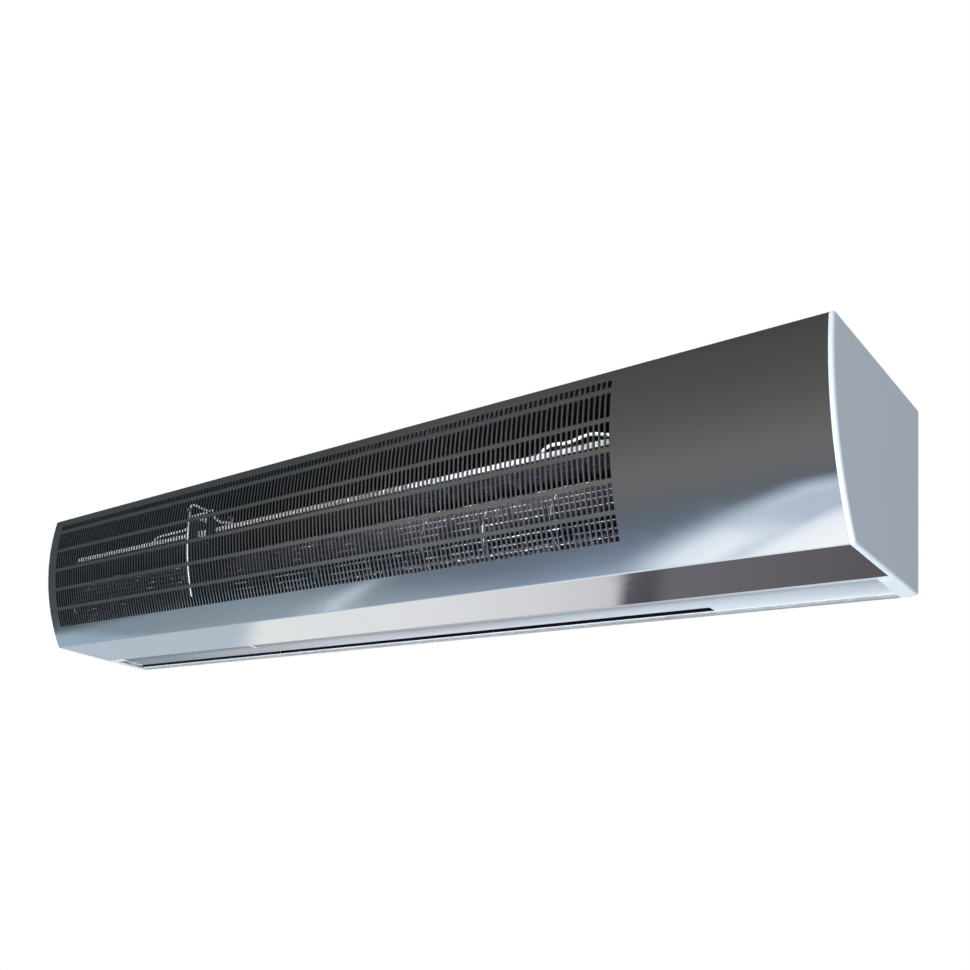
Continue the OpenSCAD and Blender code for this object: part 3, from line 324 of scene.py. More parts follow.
@dataclass
class Studio:
    """Plain soft light, a pale floor, and the room that polished metal shows.

    The room's ramps give colours by degrees: NEAR and FAR over the height angle, right in front
    and far to the side, BANDS over a slanted height at the right, and WALL over the bearing behind.
    """

    daylight: float = 0.5
    floor_half: float = 9.0
    floor_glow: float = 0.45

    LAMPS: ClassVar[tuple[Lamp, ...]] = (
        Lamp("front_fill", (-0.8, -2.4, -1.2), 2.4, 49.0),
        Lamp("under_fill", (0.2, -0.9, -2.1), 2.6, 78.0),
        Lamp("top_fill", (-0.4, -1.0, 2.6), 3.0, 40.0),
        Lamp("back_fill", (-1.4, 2.6, 1.2), 2.4, 40.0),
        Lamp("grille_beam", (0.42, -1.7, 0.12), 0.3, 2.6, (0.28, -0.17, -0.08), 22.0),
    )
    NEAR: ClassVar[Stops] = (
        (-60, (238, 244, 250)), (-48, (226, 236, 246)), (-40, (172, 188, 206)), (-32, (122, 137, 155)),
        (-27, (105, 117, 133)), (-23, (98, 109, 122)), (-18, (96, 102, 110)), (-12, (102, 103, 105)),
        (-4, (103, 103, 102)), (4, (95, 95, 93)), (11, (86, 87, 85)), (19, (80, 81, 78)),
        (27, (76, 77, 75)), (36, (69, 69, 69)), (60, (60, 61, 62)))
    FAR: ClassVar[Stops] = (
        (-60, (238, 244, 250)), (-48, (224, 234, 244)), (-36, (160, 175, 188)), (-26, (142, 156, 167)),
        (-19, (129, 143, 154)), (-16.5, (126, 141, 152)), (-14.5, (84, 94, 101)), (-12, (73, 81, 86)),
        (-4, (68, 74, 78)), (3, (66, 72, 75)), (17, (65, 71, 74)), (25, (62, 65, 67)),
        (60, (50, 52, 54)))
    BANDS: ClassVar[Stops] = (
        (-46, (252, 253, 255)), (-34, (248, 251, 255)), (-30, (240, 246, 252)), (-27.9, (203, 215, 230)),
        (-25.6, (238, 245, 251)), (-22.4, (222, 233, 243)), (-19.4, (160, 174, 190)), (-16, (112, 122, 138)))
    WALL: ClassVar[Stops] = (
        (0, (84, 81, 86)), (20, (87, 84, 89)), (26, (97, 95, 100)), (33.2, (106, 105, 111)),
        (34.2, (78, 76, 82)), (35.6, (88, 86, 92)), (36.3, (202, 202, 205)), (41, (214, 214, 218)),
        (48, (225, 227, 230)), (55.4, (226, 230, 230)), (56.4, (178, 191, 203)), (65, (180, 192, 203)),
        (90, (150, 160, 170)))

    def build(self) -> None:
        """Makes the world, the floor and the lamps."""
        self.room()
        self.floor()
        for lamp in self.LAMPS:
            lamp.build()

    def floor(self) -> None:
        """A pale floor that takes the unit's shadow; metal sees the room through it."""
        half = self.floor_half
        square = np.array([[-half, -half, FLOOR_Z], [half, -half, FLOOR_Z],
                           [half, half, FLOOR_Z], [-half, half, FLOOR_Z]])
        floor = new_mesh("floor", square, [np.array([[0, 1, 2, 3]])])
        material = bpy.data.materials.new("floor_pale")
        material.use_nodes = True
        graph = Graph(material.node_tree)
        material.node_tree.nodes.clear()
        path = graph.add("LightPath")
        grain = graph.add("TexNoise")
        graph.feed(grain.inputs["Scale"], 40.0)
        shade = graph.mix(grain.outputs[0], srgb(206, 207, 208), srgb(210, 211, 212))
        pale = graph.mix(path.outputs["Is Camera Ray"], shade, (0.97, 0.97, 0.97, 1.0))
        paint = graph.add("BsdfDiffuse")
        graph.feed(paint.inputs["Color"], pale)
        lift = graph.add("Emission")
        glow = graph.math("MULTIPLY", path.outputs["Is Camera Ray"], self.floor_glow)
        graph.feed(lift.inputs["Strength"], glow)
        both = graph.add("AddShader")
        graph.feed(both.inputs[0], paint.outputs[0])
        graph.feed(both.inputs[1], lift.outputs[0])
        clear = graph.add("BsdfTransparent")
        choose = graph.add("MixShader")
        graph.feed(choose.inputs[0], path.outputs["Is Glossy Ray"])
        graph.feed(choose.inputs[1], both.outputs[0])
        graph.feed(choose.inputs[2], clear.outputs[0])
        out = graph.add("OutputMaterial")
        graph.feed(out.inputs[0], choose.outputs[0])
        floor.data.materials.append(material)

    def room(self) -> None:
        """White to the camera, even daylight to matt surfaces, a bright and dark room to metal."""
        world = bpy.data.worlds.new("studio")
        bpy.context.scene.world = world
        world.use_nodes = True
        world.node_tree.nodes.clear()
        graph = Graph(world.node_tree)
        path = graph.add("LightPath")
        white = graph.add("Background")
        graph.feed(white.inputs[0], (1.0, 1.0, 1.0, 1.0))
        matt = graph.add("Background")
        graph.feed(matt.inputs[0], (0.95, 0.98, 1.0, 1.0))
        graph.feed(matt.inputs[1], self.daylight)
        metal = graph.add("Background")
        graph.feed(metal.inputs[0], self.reflections(graph))
        seen = graph.math("MAXIMUM", path.outputs["Is Glossy Ray"], path.outputs["Is Transmission Ray"])
        first = graph.add("MixShader")
        graph.feed(first.inputs[0], seen)
        graph.feed(first.inputs[1], matt.outputs[0])
        graph.feed(first.inputs[2], metal.outputs[0])
        last = graph.add("MixShader")
        graph.feed(last.inputs[0], path.outputs["Is Camera Ray"])
        graph.feed(last.inputs[1], first.outputs[0])
        graph.feed(last.inputs[2], white.outputs[0])
        out = graph.add("OutputWorld")
        graph.feed(out.inputs[0], last.outputs[0])

    def reflections(self, graph: Graph) -> bpy.types.NodeSocket:
        """The room's colour by direction, from the height angle and the bearing.

        The height angle is asin(z). The bearing is the angle from the front, or from the wall side,
        to the ray's level part: atan2(|x|, -y) and atan2(|x|, y).

        Args:
            graph: the world's graph.

        Returns:
            The colour of the ray's direction.
        """
        x, y, z = graph.axes(graph.add("TexCoord").outputs["Generated"])
        wide = graph.math("ABSOLUTE", x)
        height = graph.math("DEGREES", graph.math("ARCSINE", z))
        bearing = graph.math("DEGREES", graph.math("ARCTAN2", wide, graph.math("MULTIPLY", y, -1.0)))
        behind = graph.math("DEGREES", graph.math("ARCTAN2", wide, y))

        patch = graph.math("MULTIPLY", graph.span(bearing, 66.6, 67.8), graph.span(height, -14.6, -16.6))
        far = graph.mix(patch, graph.ramp(height, self.FAR), srgb(150, 173, 190))
        front = graph.mix(graph.span(bearing, 46.0, 60.0), graph.ramp(height, self.NEAR), far)

        # pale ground that rises towards the right: a slanted edge, then soft bands below it
        rise = graph.math("SUBTRACT", graph.math("MAXIMUM", bearing, 25.0), 24.0)
        slant = graph.math("ADD", height, graph.math("MULTIPLY", rise, 0.87))
        middle = graph.math("MULTIPLY", graph.span(slant, -29.5, -27.0), graph.span(slant, -20.0, -23.0))
        shade = graph.math("MULTIPLY", graph.span(bearing, 34.0, 28.0, 0.0, 0.75), middle)
        bands = graph.mix(shade, graph.ramp(slant, self.BANDS), srgb(158, 175, 195))
        inside = graph.math("MULTIPLY", graph.span(slant, -16.0, -19.5), graph.span(bearing, 46.0, 40.0))
        front = graph.mix(inside, front, bands)

        # one narrow bright streak further left
        centre = graph.math("ADD", graph.math("MULTIPLY", graph.math("ADD", height, 22.0), -1.2), 53.0)
        off = graph.math("ABSOLUTE", graph.math("SUBTRACT", bearing, centre))
        upper, lower = graph.span(height, -19.0, -26.0, 0.0, 0.8), graph.span(height, -34.0, -28.0)
        streak = graph.math("MULTIPLY", graph.span(off, 2.2, 0.3), graph.math("MULTIPLY", upper, lower))
        front = graph.mix(streak, front, srgb(205, 220, 232))

        # the wall side: pale below and plain grey above
        back = graph.mix(graph.span(height, -30.0, -50.0), graph.ramp(behind, self.WALL), srgb(238, 244, 250))
        back = graph.mix(graph.span(height, 5.0, 40.0), back, srgb(150, 155, 160))
        return graph.mix(graph.span(y, -0.12, 0.12), front, back)


# ------------------------------------------------------------------ meshes


def new_mesh(name: str, points: np.ndarray, faces: Sequence[np.ndarray],
             corner_normals: Optional[np.ndarray] = None) -> bpy.types.Object:
    """Puts arrays of points and faces into a mesh object at the world origin.

    Args:
        name: the piece's name.
        points: n x 3 positions.
        faces: arrays of point numbers, one array for each number of corners.
        corner_normals: one normal for each face corner, in the order of the faces.

    Returns:
        The linked object, smooth shaded.
    """
    corners = np.concatenate([f.ravel() for f in faces])
    used, index = np.unique(corners, return_inverse=True)
    sizes = np.concatenate([np.full(len(f), f.shape[1]) for f in faces])
    starts = np.concatenate([[0], np.cumsum(sizes)[:-1]])
    mesh = bpy.data.meshes.new(name)
    mesh.vertices.add(len(used))
    mesh.vertices.foreach_set("co", points[used].astype(np.float32).ravel())
    mesh.loops.add(len(index))
    mesh.loops.foreach_set("vertex_index", index.ravel().astype(np.int32))
    mesh.polygons.add(len(sizes))
    mesh.polygons.foreach_set("loop_start", starts.astype(np.int32))
    mesh.polygons.foreach_set("use_smooth", np.ones(len(sizes), bool))
    mesh.update(calc_edges=True)
    if mesh.validate():
        log.warning("%s needed repair", name)
    if corner_normals is not None:
        mesh.normals_split_custom_set(corner_normals.tolist())
    piece = bpy.data.objects.new(name, mesh)
    bpy.context.scene.collection.objects.link(piece)
    return piece


def finish_shading(piece: bpy.types.Object, angle: float = SHARP_ANGLE) -> None:
    """Points the faces outwards, marks edges sharper than the angle and weights the normals.

    Args:
        piece: the mesh object.
        angle: the largest turn between faces, in degrees, that is shaded smooth.
    """
    shell = bmesh.new()
    shell.from_mesh(piece.data)
    bmesh.ops.recalc_face_normals(shell, faces=shell.faces)
    shell.to_mesh(piece.data)
    shell.free()
    piece.data.set_sharp_from_angle(angle=math.radians(angle))
    weights = piece.modifiers.new("weighted", "WEIGHTED_NORMAL")
    weights.keep_sharp = True


def grid_faces(rows: int, columns: int, ring: bool = False, first: int = 0) -> np.ndarray:
    """Quads between neighbouring points of a rows x columns grid whose columns join up.

    The point at (row, column) has the number first + row*columns + column.

    Args:
        rows, columns: the grid's size in points.
        ring: True where the last row joins the first as well.
        first: the number of the grid's first point.

    Returns:
        One row of four point numbers a quad.
    """
    row = np.arange(rows if ring else rows - 1)[:, None]
    column = np.arange(columns)[None, :]
    next_row, next_column = (row + 1) % rows, (column + 1) % columns
    quads = np.stack([row * columns + column, row * columns + next_column,
                      next_row * columns + next_column, next_row * columns + column], axis=-1)
    return quads.reshape(-1, 4) + first


def loft(rings: np.ndarray, first: int = 0) -> list[np.ndarray]:
    """Faces of a closed tube through the rings, its two ends shut by flat polygons.

    Args:
        rings: rings x corners x 3 positions.
        first: the number of the first point.

    Returns:
        The side quads and the two end polygons.
    """
    count, corners = rings.shape[:2]
    last = first + (count - 1) * corners
    ends = np.stack([np.arange(corners)[::-1] + first, np.arange(corners) + last])
    return [grid_faces(count, corners, first=first), ends]


def join_tubes(tubes: Sequence[np.ndarray]) -> tuple[np.ndarray, list[np.ndarray]]:
    """Several closed tubes as the points and faces of one mesh.

    Args:
        tubes: rings x corners x 3 positions of each tube.

    Returns:
        The points, and the faces with their numbers counted on from tube to tube.
    """
    faces, first = [], 0
    for rings in tubes:
        faces += loft(rings, first)
        first += rings.shape[0] * rings.shape[1]
    return np.vstack([rings.reshape(-1, 3) for rings in tubes]), faces


def revolve(profile: np.ndarray, x_start: float, direction: float, steps: int = 96) -> np.ndarray:
    """Turns a closed profile about the fan's axis.

    A point (r, s) of the profile at the angle t lands at x = x_start + direction*s,
    y = axis_y + r*cos(t), z = axis_z + r*sin(t).

    Args:
        profile: n x 2 radii and distances along the axis, as a closed loop.
        x_start: where the distances count from.
        direction: 1 along +X, -1 along -X.
        steps: turns of the profile round the axis.

    Returns:
        steps x n x 3 positions.
    """
    turn = np.linspace(0.0, 2.0 * np.pi, steps, endpoint=False)[:, None]
    radius, along = profile[:, 0][None, :], profile[:, 1][None, :]
    return np.stack([np.broadcast_to(x_start + direction * along, (steps, len(profile))),
                     FAN_AXIS[0] + radius * np.cos(turn), FAN_AXIS[1] + radius * np.sin(turn)], axis=-1)


# ------------------------------------------------------------------ finishes


class Grain(Enum):
    """The small pattern that a surface's colour, gloss and relief follow."""

    ROLLED = "rolled"
    SPANGLE = "spangle"
    MOULDED = "moulded"
    CAST = "cast"
    GROUND = "ground"
    STACKED = "stacked"


# how far each grain is drawn out along an axis, and how fine it is
GRAIN_STRETCH: dict[Grain, Place] = {
    Grain.ROLLED: (0.06, 1.0, 1.0), Grain.GROUND: (1.0, 0.08, 0.08), Grain.STACKED: (1.0, 0.02, 0.02)}
GRAIN_FINENESS: dict[Grain, float] = {
    Grain.ROLLED: 900.0, Grain.SPANGLE: 140.0, Grain.MOULDED: 1600.0, Grain.CAST: 420.0,
    Grain.GROUND: 1400.0, Grain.STACKED: 1500.0}


def grain_group(grain: Grain) -> bpy.types.NodeTree:
    """The node group of one grain, made once.

    Its inputs are Scale and Soil, and its outputs are Pattern, a mask of 0 to 1, and Height.

    Args:
        grain: which pattern.

    Returns:
        The group.
    """
    name = "grain_" + grain.value
    if name in bpy.data.node_groups:
        return bpy.data.node_groups[name]
    tree = bpy.data.node_groups.new(name, "ShaderNodeTree")
    for label, start in (("Scale", 1.0), ("Soil", 0.3)):
        socket = tree.interface.new_socket(label, in_out="INPUT", socket_type="NodeSocketFloat")
        socket.default_value = start
    for label in ("Pattern", "Height"):
        tree.interface.new_socket(label, in_out="OUTPUT", socket_type="NodeSocketFloat")
    graph = Graph(tree)
    source = tree.nodes.new("NodeGroupInput")
    sink = tree.nodes.new("NodeGroupOutput")
    where = graph.where()
    turned = graph.stretched(where, GRAIN_STRETCH.get(grain, (1.0, 1.0, 1.0)))
    fineness = graph.math("MULTIPLY", source.outputs["Scale"], GRAIN_FINENESS[grain])
    if grain is Grain.SPANGLE:
        cells = graph.add("TexVoronoi", feature="F1")
        graph.feed(cells.inputs["Vector"], turned)
        graph.feed(cells.inputs["Scale"], fineness)
        tone = graph.add("SeparateColor")
        graph.feed(tone.inputs[0], cells.outputs["Color"])
        fine, height = tone.outputs[0], cells.outputs["Distance"]
    else:
        fine = height = graph.noise(turned, fineness, 3.0)
    blotch = graph.span(graph.noise(where, 9.0, 5.0), 0.42, 0.68)
    dirty = graph.math("MULTIPLY", blotch, source.outputs["Soil"])
    pattern = graph.math("ADD", graph.math("MULTIPLY", fine, 0.7), dirty, clamp=True)
    graph.feed(sink.inputs["Pattern"], pattern)
    graph.feed(sink.inputs["Height"], height)
    return tree


@dataclass(frozen=True)
class Finish:
    """One finish of the object: two tones mixed by a grain, with its gloss and relief.

    The relief is in metres, the scale makes the grain finer, and the soil is the share of blotches.
    """

    name: str
    slot: str
    light: Colour
    dark: Colour
    grain: Grain
    metallic: float = 0.0
    rough: float = 0.4
    rough_spread: float = 0.2
    relief: float = 0.00001
    scale: float = 1.0
    soil: float = 0.3
    coat: float = 0.0
    coat_rough: float = 0.2

    def build(self) -> bpy.types.Material:
        """Makes the material.

        Returns:
            The material, ready for a material slot.
        """
        material = bpy.data.materials.new(self.name)
        material.use_nodes = True
        graph = Graph(material.node_tree)
        shader = material.node_tree.nodes["Principled BSDF"]
        grain = graph.add("Group", node_tree=grain_group(self.grain))
        graph.feed(grain.inputs["Scale"], self.scale)
        graph.feed(grain.inputs["Soil"], self.soil)
        pattern = grain.outputs["Pattern"]
        graph.feed(shader.inputs["Base Color"], graph.mix(pattern, srgb(*self.light), srgb(*self.dark)))
        graph.feed(shader.inputs["Roughness"], graph.span(
            pattern, 0.0, 1.0, self.rough, self.rough + self.rough_spread, smooth=False))
        graph.feed(shader.inputs["Metallic"], self.metallic)
        if self.coat:
            graph.feed(shader.inputs["Coat Weight"], self.coat)
            graph.feed(shader.inputs["Coat Roughness"], self.coat_rough)
        bump = graph.add("Bump")
        graph.feed(bump.inputs["Height"], grain.outputs["Height"])
        graph.feed(bump.inputs["Distance"], self.relief)
        graph.feed(shader.inputs["Normal"], bump.outputs[0])
        self.extra(graph, shader)
        return material

    def extra(self, graph: Graph, shader: bpy.types.Node) -> None:
        """What a finish of its own kind adds; a plain one adds nothing.

        Args:
            graph, shader: the material's graph and its shader.
        """

    def bare_metal(self, graph: Graph, shader: bpy.types.Node, mask: bpy.types.NodeSocket,
                   tone: object, metal: object) -> None:
        """Mixes a painted highlight of bright, pale metal over a tone where a mask is 1.

        Args:
            graph, shader: the material's graph and its shader.
            mask: 1 where the highlight is painted.
                tone, metal: the colours without and with the painted highlight.
        """
        graph.feed(shader.inputs["Base Color"], graph.mix(mask, tone, metal))
        graph.feed(shader.inputs["Metallic"], graph.span(mask, 0.0, 1.0, self.metallic, 0.1))


@dataclass(frozen=True)
class PolishedSheet(Finish):
    """Mirror-polished sheet with the slow waves of thin metal and faint wiping marks."""

    wave: float = 0.0006
    drawn: Place = (1.0, 2.2, 2.2)

    def extra(self, graph: Graph, shader: bpy.types.Node) -> None:
        """Adds the sheet's waves under the fine grain, and smears that dull it a little.

        Args:
            graph, shader: the material's graph and its shader.
        """
        turned = graph.stretched(graph.where(), self.drawn)
        wave = graph.add("Bump")
        graph.feed(wave.inputs["Height"], graph.noise(turned, 3.2, 0.5))
        graph.feed(wave.inputs["Distance"], self.wave)
        fine = graph.fed(shader.inputs["Normal"]).node
        graph.feed(fine.inputs["Normal"], wave.outputs[0])
        graph.feed(shader.inputs["Roughness"], graph.span(
            graph.noise(turned, 14.0, 6.0), 0.35, 0.75, self.rough, self.rough + self.rough_spread))


@dataclass(frozen=True)
class TwoFacedSheet(Finish):
    """Zinc-coated sheet with painted shade on what lies inside the casing's outline."""

    # the colour of the painted shade inside the casing
    inner: Colour = (30, 32, 38)

    def extra(self, graph: Graph, shader: bpy.types.Node) -> None:
        """Paints shade over what lies in front of the wall plane and inside the casing's outline.

        Args:
            graph, shader: the material's graph and its shader.
        """
        _, y, z = graph.axes(graph.where())
        rear = graph.math("GREATER_THAN", y, INSIDE_REAR_Y)
        top = graph.math("GREATER_THAN", z, INSIDE_TOP_Z)
        under = graph.math("LESS_THAN", z, INSIDE_UNDER_Z)
        outside = graph.math("MAXIMUM", rear, graph.math("MAXIMUM", top, under))
        tone = graph.fed(shader.inputs["Base Color"])
        # painted shade inside the casing's outline, mixed over the sheet's tone
        graph.feed(shader.inputs["Base Color"], graph.mix(outside, srgb(*self.inner), tone))


@dataclass(frozen=True)
class TraySheet(Finish):
    """Satin sheet under the casing, with painted light that grows paler to the right, painted shade
    on the step, in the outlet's mouth and inside.

    The two ramps give the painted light and shade of the raised strip and of the step before it by x,
    and the strip behind the outlet's mouth carries the palest painted highlight.
    """

    # the inside colour is painted shade, and the rear strip's colour is a painted highlight
    inner: Colour = (22, 22, 40)
    rear_strip: Colour = (252, 253, 255)
    # the step carries a painted shadow, and the outlet's mouth is painted dark as shade
    step_y: tuple[float, float] = (-0.0602, -0.044)
    mouth_y: tuple[float, float] = (-0.0228, -0.0091)
    mouth_end_x: float = 0.5114
    toned: float = 0.9

    # painted light and shade along the unit, by x
    STRIP: ClassVar[Stops] = (
        (-0.75, (88, 96, 106)), (-0.6, (90, 98, 108)), (-0.3, (138, 144, 152)), (-0.15, (172, 177, 184)),
        (0.2, (192, 197, 205)), (0.45, (208, 219, 230)), (0.75, (214, 226, 238)))
    STEP: ClassVar[Stops] = (
        (-0.75, (44, 50, 60)), (-0.4, (60, 66, 76)), (0.0, (112, 118, 126)), (0.45, (160, 168, 178)),
        (0.75, (200, 212, 224)))

    def extra(self, graph: Graph, shader: bpy.types.Node) -> None:
        """Mixes painted light by the place along the unit, painted shade on the step, in the mouth and
        inside, and a painted highlight behind the mouth.

        Args:
            graph, shader: the material's graph and its shader.
        """
        x, y, z = graph.axes(graph.where())
        plain = graph.fed(shader.inputs["Base Color"])
        strip, step = graph.ramp(x, self.STRIP), graph.ramp(x, self.STEP)
        tone = graph.mix(graph.span(y, *self.step_y), step, strip)
        tone = graph.mix(graph.math("GREATER_THAN", y, self.mouth_y[1]), tone, srgb(*self.rear_strip))
        tone = graph.mix(self.toned, plain, tone)
        above = graph.math("GREATER_THAN", z, INSIDE_UNDER_Z)
        mouth_shade = graph.math("LESS_THAN", x, self.mouth_end_x)
        mouth_shade = graph.math("MULTIPLY", graph.within(y, *self.mouth_y), mouth_shade)
        # painted shade inside the casing and in the outlet's mouth
        dark = graph.math("MAXIMUM", above, mouth_shade)
        graph.feed(shader.inputs["Base Color"], graph.mix(dark, tone, srgb(*self.inner)))


@dataclass(frozen=True)
class EdgeLitSheet(Finish):
    """Dull sheet with painted highlights on its folded edges and painted shade lower down, towards
    the outlet's mouth.

    The edges lie inside the bounds (x0, x1, y0, y1) and over the height above, and the painted
    highlight's colour changes from edge towards the right-hand colour along the unit.
    """

    # the colours of the painted highlight on the edges, from left to right, and of the painted shade lower
    # down
    edge: Colour = (240, 242, 246)
    right_edge: Colour = (226, 230, 234)
    bounds: tuple[tuple[float, float, float, float], ...] = ()
    above: float = -1.0
    deep: Colour = (18, 18, 32)
    edge_x: tuple[float, float] = (-0.2, 0.15)
    deep_z: tuple[float, float] = (-0.125, -0.15)

    def extra(self, graph: Graph, shader: bpy.types.Node) -> None:
        """Paints highlights inside the edges' bounds, and shade lower down.

        Args:
            graph, shader: the material's graph and its shader.
        """
        x, y, z = graph.axes(graph.where())
        highlight_mask = 0.0
        for low_x, high_x, low_y, high_y in self.bounds:
            inside = graph.math("MULTIPLY", graph.within(x, low_x, high_x), graph.within(y, low_y, high_y))
            highlight_mask = graph.math("MAXIMUM", inside, highlight_mask)
        highlight_mask = graph.math("MULTIPLY", highlight_mask, graph.math("GREATER_THAN", z, self.above))
        metal = graph.mix(graph.span(x, *self.edge_x), srgb(*self.edge), srgb(*self.right_edge))
        plain = graph.fed(shader.inputs["Base Color"])
        # painted shade lower down, towards the outlet's mouth
        tone = graph.mix(graph.span(z, *self.deep_z), plain, srgb(*self.deep))
        self.bare_metal(graph, shader, highlight_mask, tone, metal)


@dataclass(frozen=True)
class BladedMetal(Finish):
    """Dull rolled blades with painted glints on their outer edges in places.

    The glint band starts, is full and stops at three radii, and a noise over a limit that falls
    along the unit chooses the places.
    """

    # the colour of the painted glints on the blades' edges
    edge: Colour = (250, 250, 252)
    rubbed: tuple[float, float, float] = (0.0462, 0.0468, 0.0477)
    limit: tuple[float, float, float, float] = (-0.3, 0.35, 0.58, 0.42)

    def extra(self, graph: Graph, shader: bpy.types.Node) -> None:
        """Paints glints on a band of radii, r = sqrt(y'^2 + z'^2) from the axis, where a noise is high.

        Args:
            graph, shader: the material's graph and its shader.
        """
        where = graph.where()
        x, y, z = graph.axes(where)
        across = graph.math("SUBTRACT", y, FAN_AXIS[0])
        upward = graph.math("SUBTRACT", z, FAN_AXIS[1])
        level, rise = graph.math("MULTIPLY", across, across), graph.math("MULTIPLY", upward, upward)
        radius = graph.math("SQRT", graph.math("ADD", level, rise))
        # painted glints where the noise is high
        glint_spots = graph.math("GREATER_THAN", graph.noise(where, 26.0, 3.0), graph.span(x, *self.limit))
        start, full, stop = self.rubbed
        band = graph.math("MULTIPLY", graph.span(radius, start, full), graph.math("LESS_THAN", radius, stop))
        glint_mask = graph.math("MULTIPLY", band, glint_spots)
        self.bare_metal(graph, shader, glint_mask, graph.fed(shader.inputs["Base Color"]), srgb(*self.edge))


class Finishes:
    """Every finish of the air curtain, built once."""

    TABLE: ClassVar[dict[str, Finish]] = {
        "cover": PolishedSheet("polished_sheet", "polished_cover", (250, 250, 250), (243, 244, 246),
                               Grain.ROLLED, metallic=1.0, rough=0.05, rough_spread=0.07,
                               relief=0.000002, soil=0.2),
        "cut": Finish("cut_edge", "polished_cover", (74, 76, 82), (52, 54, 60), Grain.GROUND,
                      metallic=0.6, rough=0.5, relief=0.000005, soil=0.2),
        # the chassis sheets carry painted shade inside the casing
        "chassis": TwoFacedSheet("zinc_sheet", "chassis_steel", (184, 189, 194), (160, 165, 171),
                                 Grain.SPANGLE, metallic=0.4, rough=0.38, soil=0.4),
        # the tray carries painted light along the unit and painted shade on its step, in its mouth and inside
        "tray": TraySheet("tray_sheet", "chassis_steel", (206, 212, 220), (190, 198, 206), Grain.MOULDED,
                          rough=0.3, rough_spread=0.12, relief=0.000008, scale=0.5, coat=0.3),
        # the scroll and bracket sheets carry painted highlights on their edges and painted shade lower down
        "scroll": EdgeLitSheet("scroll_sheet", "scroll_sheet", (128, 130, 142), (96, 98, 110),
                               Grain.SPANGLE, metallic=0.9, rough=0.14, rough_spread=0.1, soil=0.4,
                               right_edge=(134, 136, 140), bounds=((-0.687, 9.0, -9.0, -0.187),),
                               above=-0.0372),
        # the bracket's dark base tones are partly the sheet's own colour and partly painted shade of the
        # casing's inside
        "bracket": EdgeLitSheet("bracket_sheet", "bracket_sheet", (74, 76, 84), (48, 50, 58),
                                Grain.SPANGLE, metallic=0.2, scale=1.3, soil=0.4, edge=(240, 242, 245),
                                bounds=((-0.33, -0.3178, -9.0, 9.0), (-0.3159, -0.2721, -9.0, -0.187))),
        "cap": Finish("cap_moulding", "end_cap", (220, 230, 241), (212, 223, 236), Grain.MOULDED,
                      rough=0.34, rough_spread=0.1, scale=0.6, soil=0.15, coat=0.15),
        "white": Finish("white_moulding", "white_plastic", (238, 238, 234), (216, 216, 210),
                        Grain.MOULDED, rough=0.42, rough_spread=0.15, soil=0.2),
        "dark": Finish("dark_moulding", "dark_plastic", (52, 53, 56), (30, 31, 34), Grain.MOULDED,
                       relief=0.00002),
        "red": Finish("red_moulding", "red_plastic", (196, 40, 34), (160, 28, 24), Grain.MOULDED,
                      rough=0.3, rough_spread=0.1, soil=0.2),
        "board": Finish("board_lacquer", "board_green", (34, 96, 58), (22, 70, 42), Grain.MOULDED,
                        rough=0.3, scale=0.4, soil=0.4, coat=0.4),
        "rubber": Finish("black_rubber", "black_rubber", (34, 34, 35), (22, 22, 23), Grain.MOULDED,
                         rough=0.66, relief=0.00003, scale=0.8, soil=0.4),
        "bronze": Finish("sintered_bronze", "bearing_bronze", (176, 132, 84), (140, 98, 58), Grain.CAST,
                         metallic=0.9, rough=0.42, relief=0.00003, scale=2.0),
        # the rotor's bright blade edges are painted glints
        "rotor": BladedMetal("rolled_aluminium", "impeller_aluminium", (112, 110, 124), (70, 68, 82),
                             Grain.ROLLED, metallic=0.5, rough=0.3, soil=0.5),
        "alloy": Finish("cast_alloy", "motor_alloy", (158, 160, 164), (118, 120, 124), Grain.CAST,
                        metallic=0.8, rough=0.46, relief=0.00005, soil=0.4),
        "stator": Finish("stacked_laminations", "stator_steel", (88, 90, 94), (50, 51, 54),
                         Grain.STACKED, metallic=0.8, rough=0.48, relief=0.00006),
        "shaft": Finish("ground_shaft", "shaft_steel", (196, 197, 200), (160, 161, 165), Grain.GROUND,
                        metallic=1.0, rough=0.2, rough_spread=0.15, relief=0.000005, soil=0.2),
        "heater": Finish("heat_tinted_tube", "heater_steel", (120, 112, 106), (78, 70, 68), Grain.CAST,
                         metallic=0.85, rough=0.42, relief=0.00002, scale=0.7, soil=0.7),
        "screw": Finish("plated_screw", "plated_screw", (206, 208, 212), (168, 170, 176), Grain.GROUND,
                        metallic=1.0, rough=0.26, rough_spread=0.15, relief=0.000005),
        "wire": Finish("white_sleeve", "wire_white", (242, 242, 242), (222, 222, 224), Grain.MOULDED,
                       rough=0.36, rough_spread=0.15, relief=0.00002, scale=0.6, soil=0.2),
    }

    def __init__(self) -> None:
        """Starts with nothing built."""
        self.built: dict[str, bpy.types.Material] = {}

    def material(self, key: str) -> bpy.types.Material:
        """The finish's material, made when it is first asked for.

        Args:
            key: the finish's key in TABLE.

        Returns:
            The material.
        """
        if key not in self.built:
            self.built[key] = self.TABLE[key].build()
        return self.built[key]

    def dress(self, piece: bpy.types.Object, key: str, body: str, *nodes: str) -> None:
        """Gives a new piece its finish, lets it ride on its body and stand for its nodes.

        Args:
            piece: the mesh object.
            key: the finish's key in TABLE.
            body: the body that it rides on.
            nodes: the frame's nodes that it replaces.
        """
        piece.data.materials.append(self.material(key))
        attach(piece, body)
        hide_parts(*nodes)
        log.info("%s: %d faces, for %s", piece.name, len(piece.data.polygons), ", ".join(nodes))


# ------------------------------------------------------------------ casing outline


